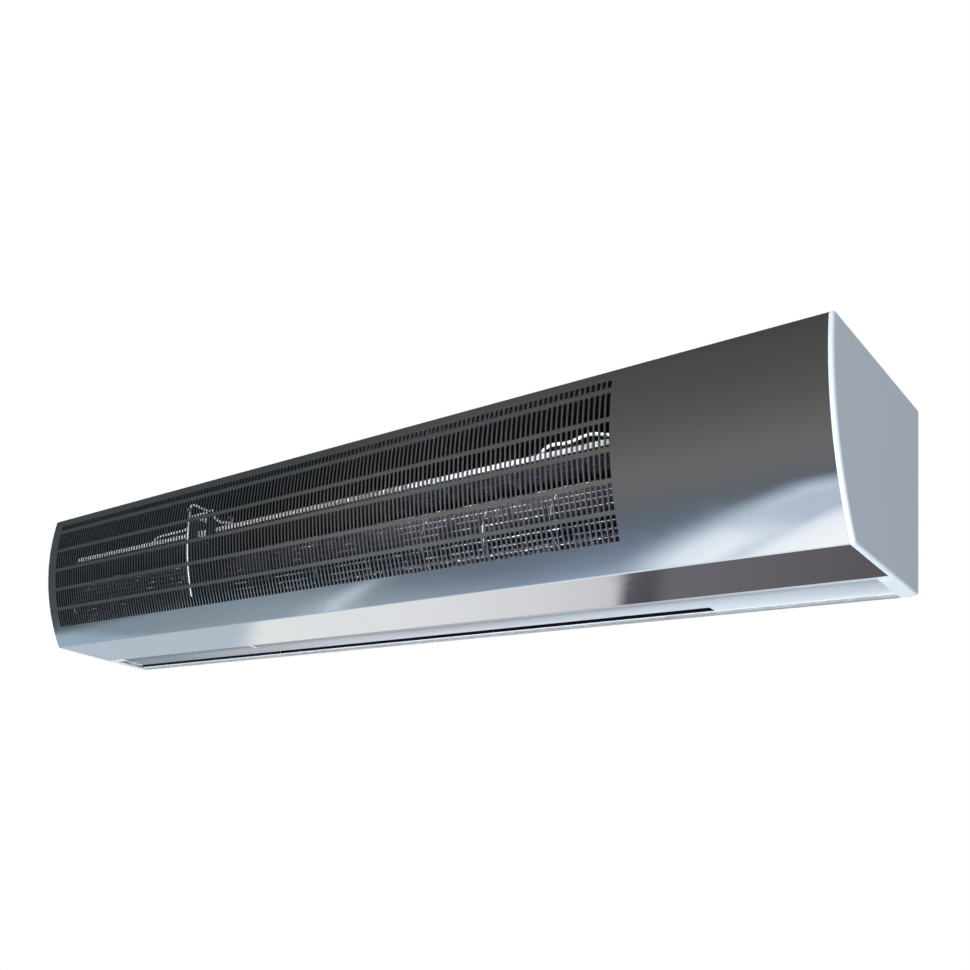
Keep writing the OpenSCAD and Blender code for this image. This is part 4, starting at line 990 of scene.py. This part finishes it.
@dataclass
class CasingOutline:
    """The casing's side view: wall, top and bottom lines and the front's arc."""

    depth: float = 0.232
    top: float = 0.041
    bottom: float = -0.180
    setback: float = 0.0625
    bulge: float = 0.0184

    def __post_init__(self) -> None:
        """Works out the arc: radius = chord^2/(8*bulge) + bulge/2, its centre behind the chord."""
        height = self.top - self.bottom
        chord = math.hypot(self.setback, height)
        self.radius = chord * chord / (8.0 * self.bulge) + self.bulge / 2.0
        reach = (self.radius - self.bulge) / chord
        self.centre = np.array([-self.depth + self.setback / 2.0 + reach * height,
                                self.bottom + height / 2.0 + reach * self.setback])
        self.edge = math.asin((self.top - self.centre[1]) / self.radius)

    def arc_angle(self, run: np.ndarray) -> np.ndarray:
        """The outward direction, as an angle from +Y, at an arc length below the upper edge."""
        return np.pi + run / self.radius - self.edge

    def corner(self, level: float, inset: float) -> tuple[np.ndarray, float]:
        """The centre of a rounding that touches the arc and a level line.

        It lies radius - inset from the arc's centre: reach^2 + drop^2 = (radius - inset)^2.

        Args:
            level: height of the rounding's centre.
            inset: distance of that centre inside the arc.

        Returns:
            The centre, and the outward angle where the rounding meets the arc.
        """
        drop = level - self.centre[1]
        reach = math.sqrt((self.radius - inset) ** 2 - drop ** 2)
        middle = np.array([self.centre[0] - reach, level])
        return middle, math.pi + math.atan2(-drop, reach)

    def loop(self, inset: float, rounding: float, arc_steps: int = 28, steps: int = 6) -> np.ndarray:
        """The closed outline drawn in by an inset, with rounded corners.

        The arc's radius is radius - inset, and each corner turns about a fixed centre with the
        radius rounding - inset.

        Args:
            inset: distance inside the casing's outline.
            rounding: corner radius of the outline with no inset.
            arc_steps, steps: points along the arc and round each corner.

        Returns:
            n x 2 positions (y, z).
        """
        turn = max(rounding - inset, 0.0002)
        upper, upper_angle = self.corner(self.top - rounding, rounding)
        lower, lower_angle = self.corner(self.bottom + rounding, rounding)
        quarter = np.pi / 2.0

        def bend(centre: np.ndarray, start: float, end: float) -> np.ndarray:
            """Points round a corner: centre + turn*(cos a, sin a)."""
            angle = np.linspace(start, end, steps)[:, None]
            return centre + turn * np.hstack([np.cos(angle), np.sin(angle)])

        angle = np.linspace(lower_angle, upper_angle, arc_steps)[1:-1, None]
        arc = self.centre + (self.radius - inset) * np.hstack([np.cos(angle), np.sin(angle)])
        return np.vstack([
            arc, bend(upper, upper_angle, quarter),
            bend(np.array([-rounding, self.top - rounding]), quarter, 0.0),
            bend(np.array([-rounding, self.bottom + rounding]), 0.0, -quarter),
            bend(lower, 3.0 * quarter, lower_angle)])


# ------------------------------------------------------------------ front cover


@dataclass
class FrontCover:
    """One polished sheet: return on the top, punched arc, rounded lower bend and flange."""

    outline: CasingOutline
    half_length: float = 0.7485
    sheet: float = 0.0015
    bend: float = 0.0026
    return_rear: float = -0.202
    flange_rear: float = -0.0715
    slot_first: float = -0.722
    slot_pitch: float = 0.00765
    slot_width: float = 0.0052
    slot_count: int = 159
    short_top: float = 0.0128
    short_length: float = 0.0092
    row_first: float = 0.0281
    row_length: float = 0.0293
    row_pitch: float = 0.0349
    row_count: int = 5
    rim: float = 0.00028

    def columns(self) -> tuple[np.ndarray, np.ndarray, np.ndarray]:
        """Places of the grid's columns along X.

        Returns:
            The columns, how far each moves at the outer face to round the slots' rims, and a mask
            of the spans between columns that are slots.
        """
        left = self.slot_first + self.slot_pitch * np.arange(self.slot_count)
        pairs = np.stack([left, left + self.slot_width], axis=1).ravel()
        ends = np.linspace(pairs[-1], self.half_length, 9)[1:]
        start = np.linspace(-self.half_length, pairs[0], 3)[:-1]
        x = np.concatenate([start, pairs, ends])
        shift = np.zeros_like(x)
        shift[2:2 + len(pairs)] = np.tile([-self.rim, self.rim], self.slot_count)
        hole = np.zeros(len(x) - 1, bool)
        hole[2:2 + len(pairs):2] = True
        return x, shift, hole

    def rows(self) -> tuple[np.ndarray, np.ndarray, np.ndarray, np.ndarray]:
        """Places of the grid's rows down the section.

        The top return is level, the bends turn about their centres, and the arc follows
        centre + radius*(cos a, sin a) with a from arc_angle.

        Returns:
            The (y, z) points on the outer face, the outward angles, how far along the arc each row
            moves at the slots' rims, and a mask of the spans between rows that are slots.
        """
        arc = self.outline
        upper, upper_angle = arc.corner(arc.top - self.bend, self.bend)
        lower, lower_angle = arc.corner(arc.bottom + self.bend, self.bend)
        first = (upper_angle - math.pi + arc.edge) * arc.radius
        last = (lower_angle - math.pi + arc.edge) * arc.radius
        tops = self.row_first + self.row_pitch * np.arange(self.row_count)
        starts = np.concatenate([[self.short_top], tops])
        lengths = np.concatenate([[self.short_length], np.full(self.row_count, self.row_length)])
        runs, marks = [np.linspace(first, starts[0], 3)[:-1]], [np.zeros(2, int)]
        for index, (start, length) in enumerate(zip(starts, lengths)):
            steps = 3 if index == 0 else 5
            following = starts[index + 1] if index < self.row_count else last
            between = np.linspace(start + length, following, 3 if index < self.row_count else 7)[1:]
            between = between[:-1] if index < self.row_count else between
            runs += [np.linspace(start, start + length, steps), between]
            marks += [np.array([-1] + [2] * (steps - 2) + [1]), np.zeros(len(between), int)]
        run, mark = np.concatenate(runs), np.concatenate(marks)
        angle = arc.arc_angle(run)
        point = arc.centre + arc.radius * np.stack([np.cos(angle), np.sin(angle)], axis=1)
        turn_up = np.linspace(math.pi / 2.0, upper_angle, 8)[:-1]
        turn_down = np.linspace(lower_angle, 1.5 * math.pi, 9)[1:]
        bend_up = upper + self.bend * np.stack([np.cos(turn_up), np.sin(turn_up)], axis=1)
        bend_down = lower + self.bend * np.stack([np.cos(turn_down), np.sin(turn_down)], axis=1)
        level = np.linspace(self.return_rear, upper[0], 4)[:-1]
        flange = np.linspace(lower[0], self.flange_rear, 8)[1:]
        points = np.vstack([
            np.stack([level, np.full_like(level, arc.top)], axis=1), bend_up, point, bend_down,
            np.stack([flange, np.full_like(flange, arc.bottom)], axis=1)])
        angles = np.concatenate([np.full(len(level), math.pi / 2.0), turn_up, angle, turn_down,
                                 np.full(len(flange), 1.5 * math.pi)])
        before, after = len(level) + len(turn_up), len(turn_down) + len(flange)
        mark = np.concatenate([np.zeros(before, int), mark, np.zeros(after, int)])
        shift = np.where(mark == 2, 0, mark) * self.rim
        hole = np.isin(mark[:-1], (-1, 2))
        return points, angles, shift, hole

    def build(self, finishes: Finishes) -> None:
        """Makes the sheet with its slots, each with a slightly rolled rim, and dresses it.

        The outer grid lies on the section, the inner grid a sheet's thickness inside it, and the rim
        grid between them. Quads span each grid outside the slots, and walls join the grids round
        every slot and along the sheet's edges.

        Args:
            finishes: the object's finishes.
        """
        x, x_shift, x_hole = self.columns()
        section, angle, run_shift, row_hole = self.rows()
        out = np.stack([np.cos(angle), np.sin(angle)], axis=1)
        along = np.stack([-np.sin(angle), np.cos(angle)], axis=1)

        def grid(columns: np.ndarray, line: np.ndarray) -> np.ndarray:
            """The points with each column's x and each row's (y, z), row by row."""
            shape = (len(line), len(columns))
            return np.stack([np.broadcast_to(columns, shape), np.broadcast_to(line[:, :1], shape),
                             np.broadcast_to(line[:, 1:], shape)], axis=-1).reshape(-1, 3)

        outer = grid(x + x_shift, section + along * run_shift[:, None])
        middle = grid(x, section - out * self.rim)
        inner = grid(x, section - out * self.sheet)
        points = np.vstack([outer, middle, inner])
        count, wide, tall = len(outer), len(x), len(section)
        number = np.arange(count).reshape(tall, wide)
        hole = row_hole[:, None] & x_hole[None, :]
        a, b = number[:-1, :-1], number[:-1, 1:]
        c, d = number[1:, 1:], number[1:, :-1]
        skin = np.stack([a, d, c, b], axis=-1)[~hole]
        lining = np.stack([a, b, c, d], axis=-1)[~hole] + 2 * count

        up = hole & ~np.vstack([np.zeros((1, wide - 1), bool), hole[:-1]])
        down = hole & ~np.vstack([hole[1:], np.zeros((1, wide - 1), bool)])
        edges = np.vstack([
            np.stack([d[hole], a[hole]], axis=1), np.stack([b[hole], c[hole]], axis=1),
            np.stack([a[up], b[up]], axis=1), np.stack([c[down], d[down]], axis=1)])
        border = np.vstack([
            np.stack([number[:-1, 0], number[1:, 0]], axis=1),
            np.stack([number[1:, -1], number[:-1, -1]], axis=1),
            np.stack([number[0, 1:], number[0, :-1]], axis=1),
            np.stack([number[-1, :-1], number[-1, 1:]], axis=1)])

        def wall(pairs: np.ndarray, start: int, end: int) -> np.ndarray:
            """Quads between the same pairs of points on two of the grids."""
            return np.stack([pairs[:, 0] + start * count, pairs[:, 0] + end * count,
                             pairs[:, 1] + end * count, pairs[:, 1] + start * count], axis=1)

        walls = np.vstack([wall(edges, 0, 1), wall(edges, 1, 2), wall(border, 0, 2)])
        shown = np.column_stack([np.zeros(tall), out])
        normal = np.repeat(shown, wide, axis=0)
        corner = points[walls]
        flat = np.cross(corner[:, 2] - corner[:, 0], corner[:, 3] - corner[:, 1])
        flat /= np.maximum(np.linalg.norm(flat, axis=1, keepdims=True), 1e-12)
        normals = np.vstack([
            normal[skin.ravel()], -normal[lining.ravel() - 2 * count], np.repeat(flat, 4, axis=0)])
        piece = new_mesh("cover_sheet", points, [np.vstack([skin, lining, walls])], normals)
        finishes.dress(piece, "cover", "casing", "front_cover")
        piece.data.materials.append(finishes.material("cut"))
        kinds = np.repeat([0, 1], [len(skin) + len(lining), len(walls)]).astype(np.int32)
        piece.data.polygons.foreach_set("material_index", kinds)


# ------------------------------------------------------------------ end caps


@dataclass
class EndCap:
    """A moulded cap: rounded rim, flat side, and a flange that reaches under the chassis.

    The flange is three strips with fine gaps, each given by its rear, its front and its height.
    """

    outline: CasingOutline
    side: int
    rim_start: float = 0.7485
    face: float = 0.755
    wall: float = 0.0025
    round_face: float = 0.003
    round_corner: float = 0.0036
    flange_start: float = 0.735
    soft: float = 0.0003

    STRIPS: ClassVar[tuple[Place, ...]] = (
        (-0.0002, -0.0601, 0.003), (-0.0603, -0.0618, 0.0015), (-0.062, -0.0713, 0.0015))

    def rings(self) -> np.ndarray:
        """Outlines from the floor inside the cap, over its rim, to the flat side.

        Each ring is the casing's loop at an inset and a place along X; the outer edge follows
        x = face - r + r*sin(t), inset = r - r*cos(t).

        Returns:
            rings x corners x 3 positions.
        """
        turn = np.linspace(0.0, math.pi / 2.0, 7)
        edge = [(self.face - self.round_face + self.round_face * math.sin(t),
                 self.round_face - self.round_face * math.cos(t)) for t in turn]
        stations = [(self.face - self.wall, self.wall), (self.rim_start + self.soft, self.wall),
                    (self.rim_start, self.wall - self.soft), (self.rim_start, self.soft),
                    (self.rim_start + self.soft, 0.0)] + edge
        loops = []
        for x, inset in stations:
            loop = self.outline.loop(inset, self.round_corner)
            loops.append(np.column_stack([np.full(len(loop), self.side * x), loop]))
        return np.stack(loops)

    def strip(self, rear: float, front: float, height: float) -> np.ndarray:
        """The two end rings of a thin strip of the flange, its long edges rounded.

        A ring's point is the nearest of the four roundings' centres, plus soft*(cos t, sin t).

        Args:
            rear, front: the strip's Y bounds.
            height: its thickness over the casing's underside.

        Returns:
            2 x corners x 3 positions.
        """
        soft, low = 0.0004, self.outline.bottom
        high, sink = low + height, 0.0005
        turn = np.linspace(0.0, 2.0 * math.pi, 16, endpoint=False)
        y = np.where(np.cos(turn) >= 0.0, rear - soft, front + soft) + soft * np.cos(turn)
        z = np.where(np.sin(turn) >= 0.0, high - soft, low + soft) + soft * np.sin(turn)
        return np.stack([np.column_stack([np.full(len(turn), self.side * x), y, z])
                         for x in (self.flange_start, self.rim_start + sink)])

    def build(self, finishes: Finishes) -> None:
        """Makes the cap and dresses it.

        Args:
            finishes: the object's finishes.
        """
        name = "left" if self.side < 0 else "right"
        tubes = [self.rings()] + [self.strip(*bounds) for bounds in self.STRIPS]
        piece = new_mesh(name + "_cap_shell", *join_tubes(tubes))
        finish_shading(piece)
        finishes.dress(piece, "cap", "casing", name + "_end_cap")


# ------------------------------------------------------------------ impellers


@dataclass
class Impeller:
    """A cross-flow impeller: curved blades between two discs, with stiffening rings."""

    name: str
    motor_end: float
    outer_end: float
    radius: float = 0.048
    blade_outer: float = 0.0474
    blade_inner: float = 0.036
    blade_half: float = 0.0005
    blade_count: int = 30
    blade_steps: int = 9
    thin_edge: float = 0.35
    disc: float = 0.002
    hub_radius: float = 0.011
    hub_length: float = 0.020
    bore: float = 0.00402
    ring_pitch: float = 0.1065
    ring_width: float = 0.0015
    ring_bore: float = 0.035
    ring_clearance: float = 0.012
    soft: float = 0.0003
    arc_middle: tuple[float, float] = (0.0438, 0.00918)
    arc_radius: float = 0.0108
    arc_reach: tuple[float, float] = (-1.4, 1.2)
    arc_samples: int = 600

    def arc(self, turn: np.ndarray) -> np.ndarray:
        """The blade's middle line: (u, v) = middle + radius*(sin t, -cos t)."""
        return np.array(self.arc_middle) + self.arc_radius * np.stack([np.sin(turn), -np.cos(turn)], axis=1)

    def blade_loop(self) -> np.ndarray:
        """The blade's section, as a closed loop with rounded edges.

        The middle line is the arc's part between the inner and the outer radius, and the loop lies
        half a blade's thickness to each side, or thin_edge of that at the two edges.

        Returns:
            n x 2 positions in the plane across the axis.
        """
        t = np.linspace(*self.arc_reach, self.arc_samples)
        far = np.linalg.norm(self.arc(t), axis=1)
        keep = (far > self.blade_inner) & (far < self.blade_outer - self.blade_half)
        ends = t[keep][[0, -1]]
        t = np.linspace(ends[0], ends[1], self.blade_steps)
        share = np.concatenate([[self.thin_edge], np.ones(len(t) - 2), [self.thin_edge]])
        half = self.blade_half * share
        line = self.arc(t)
        side = np.stack([np.sin(t), -np.cos(t)], axis=1) * half[:, None]
        return np.vstack([line + side, (line - side)[::-1]])

    def build(self, finishes: Finishes) -> None:
        """Makes blades, rings, discs and hubs as one piece and dresses it.

        A blade's point (u, v) turned by its angle lands at y = v', z = -direction*u' from the axis,
        and its two ends are sunk into the discs.

        Args:
            finishes: the object's finishes.
        """
        direction = 1.0 if self.outer_end > self.motor_end else -1.0
        length = abs(self.outer_end - self.motor_end)
        loop = self.blade_loop()
        angle = np.linspace(0.0, 2.0 * math.pi, self.blade_count, endpoint=False)[:, None]
        u = loop[:, 0] * np.cos(angle) - loop[:, 1] * np.sin(angle)
        v = loop[:, 0] * np.sin(angle) + loop[:, 1] * np.cos(angle)
        sunk = 0.9 * self.disc
        stations = np.array([sunk, length - sunk])
        shape = (self.blade_count, 2, loop.shape[0])
        blades = np.stack([
            np.broadcast_to(self.motor_end + direction * stations[None, :, None], shape),
            np.broadcast_to(FAN_AXIS[0] + v[:, None, :], shape),
            np.broadcast_to(FAN_AXIS[1] - direction * u[:, None, :], shape)], axis=-1)
        one = 2 * loop.shape[0]
        sides, ends = loft(blades[0])
        offset = (np.arange(self.blade_count) * one)[:, None, None]
        points = [blades.reshape(-1, 3)]
        quads = [(sides[None] + offset).reshape(-1, 4)]
        caps = [(ends[None] + offset).reshape(-1, ends.shape[1])]
        edge, soft = self.radius - self.soft, self.soft
        end_disc = np.array([
            [self.bore, 0.0], [edge, 0.0], [self.radius, soft], [self.radius, self.disc - soft],
            [edge, self.disc], [self.hub_radius, self.disc],
            [self.hub_radius, self.hub_length - self.blade_half],
            [self.hub_radius - self.blade_half, self.hub_length], [self.bore, self.hub_length]])
        ring = np.array([
            [self.ring_bore, 0.0], [edge, 0.0], [self.radius, soft], [self.radius, self.ring_width - soft],
            [edge, self.ring_width], [self.ring_bore, self.ring_width]])
        places = [(end_disc, self.motor_end, direction), (end_disc, self.outer_end, -direction)]
        for at in np.arange(self.ring_pitch, length - self.ring_clearance, self.ring_pitch):
            places.append((ring, self.motor_end + direction * at, direction))
        for profile, x_start, way in places:
            first = sum(len(p) for p in points)
            turned = revolve(profile, x_start, way)
            points.append(turned.reshape(-1, 3))
            quads.append(grid_faces(turned.shape[0], turned.shape[1], True, first))
        piece = new_mesh(self.name + "_blades", np.vstack(points), [np.vstack(quads)] + caps)
        finish_shading(piece)
        finishes.dress(piece, "rotor", "rotor", self.name)


# ------------------------------------------------------------------ wires


def smooth_route(route: np.ndarray, steps: int) -> np.ndarray:
    """A Catmull-Rom curve through the route's points.

    Between b and c, with a before and d after, p(t) = (2b + (c - a)t + (2a - 5b + 4c - d)t^2
    + (3b - a - 3c + d)t^3)/2, and the end points are repeated.

    Args:
        route: n x 3 points.
        steps: points on each span.

    Returns:
        The curve's points.
    """
    a = np.vstack([route[:1], route[:-2]])[:, None]
    b, c = route[:-1][:, None], route[1:][:, None]
    d = np.vstack([route[2:], route[-1:]])[:, None]
    t = (np.arange(steps) / steps)[None, :, None]
    square, cube = 2 * a - 5 * b + 4 * c - d, 3 * b - a - 3 * c + d
    curve = 0.5 * (2 * b + (c - a) * t + square * t ** 2 + cube * t ** 3)
    return np.vstack([curve.reshape(-1, 3), route[-1:]])


@dataclass
class Wires:
    """The white sleeved wires, each along its route inside the casing.

    ROUTES holds the points of each wire's route, in millimetres, with heights over the casing's
    underside. A node with two wires has two routes.
    """

    radius: float = 0.002
    corners: int = 12
    steps: int = 7
    smooth_to: float = 50.0

    ROUTES: ClassVar[dict[str, tuple[tuple[Place, ...], ...]]] = {
        "thermostat_cable": ((
            (-689, -186, 149.2), (-678, -186, 148.6), (-640, -194, 145.6), (-540, -196, 145.6),
            (-478, -197, 146.6), (-437, -205, 156.6), (-388, -210, 155.6), (-338, -216, 153.6),
            (-330, -219, 165), (-330, -220, 176), (-334, -221, 185), (-328, -221, 191),
            (-319, -220, 190), (-307, -219, 185), (-292, -218, 179), (-278, -218, 175),
            (-267, -219, 173.5), (-262, -219, 164), (-256, -212, 156.6), (-240, -202, 154.6),
            (-210, -197, 146.6), (-160, -196, 145.6), (0, -196, 145.6), (292, -196, 145.6),
            (356, -196, 150.6), (379, -196, 164.6), (407, -195, 164.1), (425, -194, 167.6),
            (440, -193, 169.6), (458, -190, 166.6), (480, -180, 165), (498, -174.6, 165), (526, -174.6, 165),
            (572, -150, 152), (600, -95, 112), (596, -57.6, 75), (596, -47.6, 75), (596, -35.9, 75)),),
        "motor_cable": ((
            (-294, -140, 127.4), (-294, -144, 139), (-294, -160, 146), (-294, -174, 154),
            (-294, -178, 166), (-291, -179, 174), (-282, -180, 178), (-274, -182, 177),
            (-266, -184, 171), (-262, -186, 160), (-258, -187, 150.6), (-246, -188, 146.6),
            (-180, -188, 145.6), (0, -188, 145.6), (292, -188, 145.6), (392, -186, 148.6),
            (452, -178, 157.6), (498, -169.4, 165), (526, -169.4, 165), (552, -140, 156),
            (572, -90, 120), (570, -57.6, 75), (570, -47.6, 75), (570, -35.9, 75)),),
        "heater_cables": ((
            (543.3, -72, 52), (548, -72, 52), (554, -72, 52), (594, -76, 60), (646, -74, 62),
            (656, -56, 76), (656, -28, 84), (656, -24, 88), (656, -24, 92), (656, -24, 95.7)), (
            (543.3, -56, 30), (548, -56, 30), (554, -56, 30), (604, -60, 36), (662.4, -62, 42),
            (678.4, -58, 66), (678.4, -28, 84), (678.4, -24, 88), (678.4, -24, 92), (678.4, -24, 95.7))),
    }

    def tube(self, route: Sequence[Place]) -> np.ndarray:
        """Rings of a round tube along a route.

        Each ring is p + r*(cos k*u + sin k*w), where u is the last ring's u turned square to the
        new tangent and w is the tangent crossed with it.

        Args:
            route: points in millimetres, with heights over the casing's underside.

        Returns:
            rings x corners x 3 positions.
        """
        points = smooth_route(np.array(route, float) * MM + np.array([0.0, 0.0, CASING_Z]), self.steps)
        ahead = np.vstack([points[1:], points[-1:]])
        before = np.vstack([points[:1], points[:-1]])
        tangent = ahead - before
        tangent /= np.linalg.norm(tangent, axis=1, keepdims=True)
        side = np.array([0.1, 0.2, 1.0])
        sides = []
        for direction in tangent:
            side = side - direction * float(side @ direction)
            side = side / np.linalg.norm(side)
            sides.append(side)
        u = np.array(sides)
        w = np.cross(tangent, u)
        turn = np.linspace(0.0, 2.0 * math.pi, self.corners, endpoint=False)
        return (points[:, None] + self.radius * (np.cos(turn)[None, :, None] * u[:, None]
                                                 + np.sin(turn)[None, :, None] * w[:, None]))

    def build(self, finishes: Finishes) -> None:
        """Makes each wire run as a closed tube and dresses it.

        Args:
            finishes: the object's finishes.
        """
        for node, routes in self.ROUTES.items():
            piece = new_mesh(node + "_sleeve", *join_tubes([self.tube(route) for route in routes]))
            finish_shading(piece, self.smooth_to)
            finishes.dress(piece, "wire", "casing", node)


# ------------------------------------------------------------------ pieces carried from the frame


class Treatment(Enum):
    """What a carried solid gets besides its finish."""

    ROUND = "round"
    SOFT = "soft"


@dataclass
class CarriedPieces:
    """The frame's other solids, as copies with smooth curves or softened edges.

    TABLE gives the finish, the treatment and the nodes that share them. Of a softened piece, faces
    that turn by less than flat_angle are joined, and edges that turn by more than edge_angle are
    rounded, in degrees.
    """

    nodes: dict[str, bpy.types.Object]
    finishes: Finishes
    weld: float = 0.000002
    sliver: float = 0.000001
    soft_width: float = 0.0003
    flat_angle: float = 1.0
    edge_angle: float = 50.0

    TABLE: ClassVar[tuple[tuple[str, Treatment, tuple[str, ...]], ...]] = (
        ("chassis", Treatment.SOFT, ("back_panel", "top_panel")),
        ("tray", Treatment.SOFT, ("bottom_tray",)),
        ("chassis", Treatment.SOFT, ("left_end_plate", "right_end_plate", "fan_plate")),
        ("screw", Treatment.ROUND, ("cover_screws",)),
        ("white", Treatment.SOFT, ("cover_clips",)),
        ("screw", Treatment.ROUND, ("cap_screws",)),
        ("scroll", Treatment.ROUND, ("scroll_left", "scroll_right", "tongue_left", "tongue_right")),
        ("bracket", Treatment.ROUND, ("motor_bracket",)),
        ("stator", Treatment.ROUND, ("motor_stator",)),
        ("alloy", Treatment.ROUND, ("motor_bell_left", "motor_bell_right")),
        ("rubber", Treatment.ROUND, ("motor_rubber_rings",)),
        ("shaft", Treatment.ROUND, ("motor_shaft", "stub_shaft_left", "stub_shaft_right")),
        ("screw", Treatment.ROUND, ("hub_screws",)),
        ("bracket", Treatment.ROUND, ("bearing_carrier_left", "bearing_carrier_right")),
        ("screw", Treatment.ROUND, ("carrier_screws",)),
        ("rubber", Treatment.ROUND, ("rubber_seat_left", "rubber_seat_right")),
        ("bronze", Treatment.ROUND, ("bearing_left", "bearing_right")),
        ("heater", Treatment.ROUND, ("heater_element",)),
        ("bracket", Treatment.ROUND, ("heater_supports",)),
        ("white", Treatment.ROUND, ("end_thermostat",)),
        ("chassis", Treatment.SOFT, ("electrics_plate",)),
        ("board", Treatment.SOFT, ("control_board",)),
        ("white", Treatment.ROUND, ("board_posts",)),
        ("dark", Treatment.SOFT, ("board_parts",)),
        ("white", Treatment.ROUND, ("capacitor",)),
        ("screw", Treatment.ROUND, ("capacitor_strap",)),
        ("white", Treatment.SOFT, ("terminal_block",)),
        ("screw", Treatment.ROUND, ("terminal_screws",)),
        ("dark", Treatment.ROUND, ("cut_out",)),
        ("red", Treatment.ROUND, ("reset_button",)),
        ("rubber", Treatment.ROUND, ("wire_grommet",)),
        ("dark", Treatment.ROUND, ("cable_gland", "gland_nut")),
    )

    def build(self) -> None:
        """Dresses each node in the table."""
        for key, treatment, names in self.TABLE:
            for node in names:
                piece = self.merged_copy(node, treatment)
                self.finishes.dress(piece, key, str(self.nodes[node]["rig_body"]), node)

    def merged_copy(self, node: str, treatment: Treatment) -> bpy.types.Object:
        """A copy of a node's solid with its triangles joined into one shell.

        Args:
            node: the node's name.
            treatment: ROUND shades curves smooth, and SOFT also rounds the edges a little.

        Returns:
            The new piece.
        """
        shell = bmesh.new()
        shell.from_mesh(self.nodes[node].data)
        bmesh.ops.remove_doubles(shell, verts=shell.verts, dist=self.weld)
        bmesh.ops.dissolve_degenerate(shell, edges=shell.edges, dist=self.sliver)
        if treatment is Treatment.SOFT:
            flat = math.radians(self.flat_angle)
            bmesh.ops.dissolve_limit(shell, angle_limit=flat, verts=shell.verts, edges=shell.edges)
        mesh = bpy.data.meshes.new(node + "_piece")
        shell.to_mesh(mesh)
        shell.free()
        mesh.polygons.foreach_set("use_smooth", np.ones(len(mesh.polygons), bool))
        mesh.set_sharp_from_angle(angle=math.radians(SHARP_ANGLE))
        piece = bpy.data.objects.new(node + "_piece", mesh)
        bpy.context.scene.collection.objects.link(piece)
        if treatment is Treatment.SOFT:
            bevel = piece.modifiers.new("soft_edges", "BEVEL")
            bevel.width, bevel.segments, bevel.limit_method = self.soft_width, 2, "ANGLE"
            bevel.angle_limit, bevel.use_clamp_overlap = math.radians(self.edge_angle), True
            bevel.harden_normals = True
        else:
            piece.modifiers.new("weighted", "WEIGHTED_NORMAL").keep_sharp = True
        return piece


# ------------------------------------------------------------------ the object


def main() -> None:
    """Loads the frame and builds every sub-assembly in order."""
    logging.basicConfig(level=logging.INFO, format="%(name)s: %(message)s")
    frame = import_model()
    Viewpoint().build()
    Studio().build()
    finishes = Finishes()
    outline = CasingOutline()
    FrontCover(outline).build(finishes)
    EndCap(outline, -1).build(finishes)
    EndCap(outline, 1).build(finishes)
    Impeller("impeller_left", -0.363, -0.702).build(finishes)
    Impeller("impeller_right", -0.253, 0.498).build(finishes)
    Wires().build(finishes)
    CarriedPieces(frame["nodes"], finishes).build()
    log.info("%d nodes in the frame", len(frame["nodes"]))


if __name__ == "__main__":
    main()
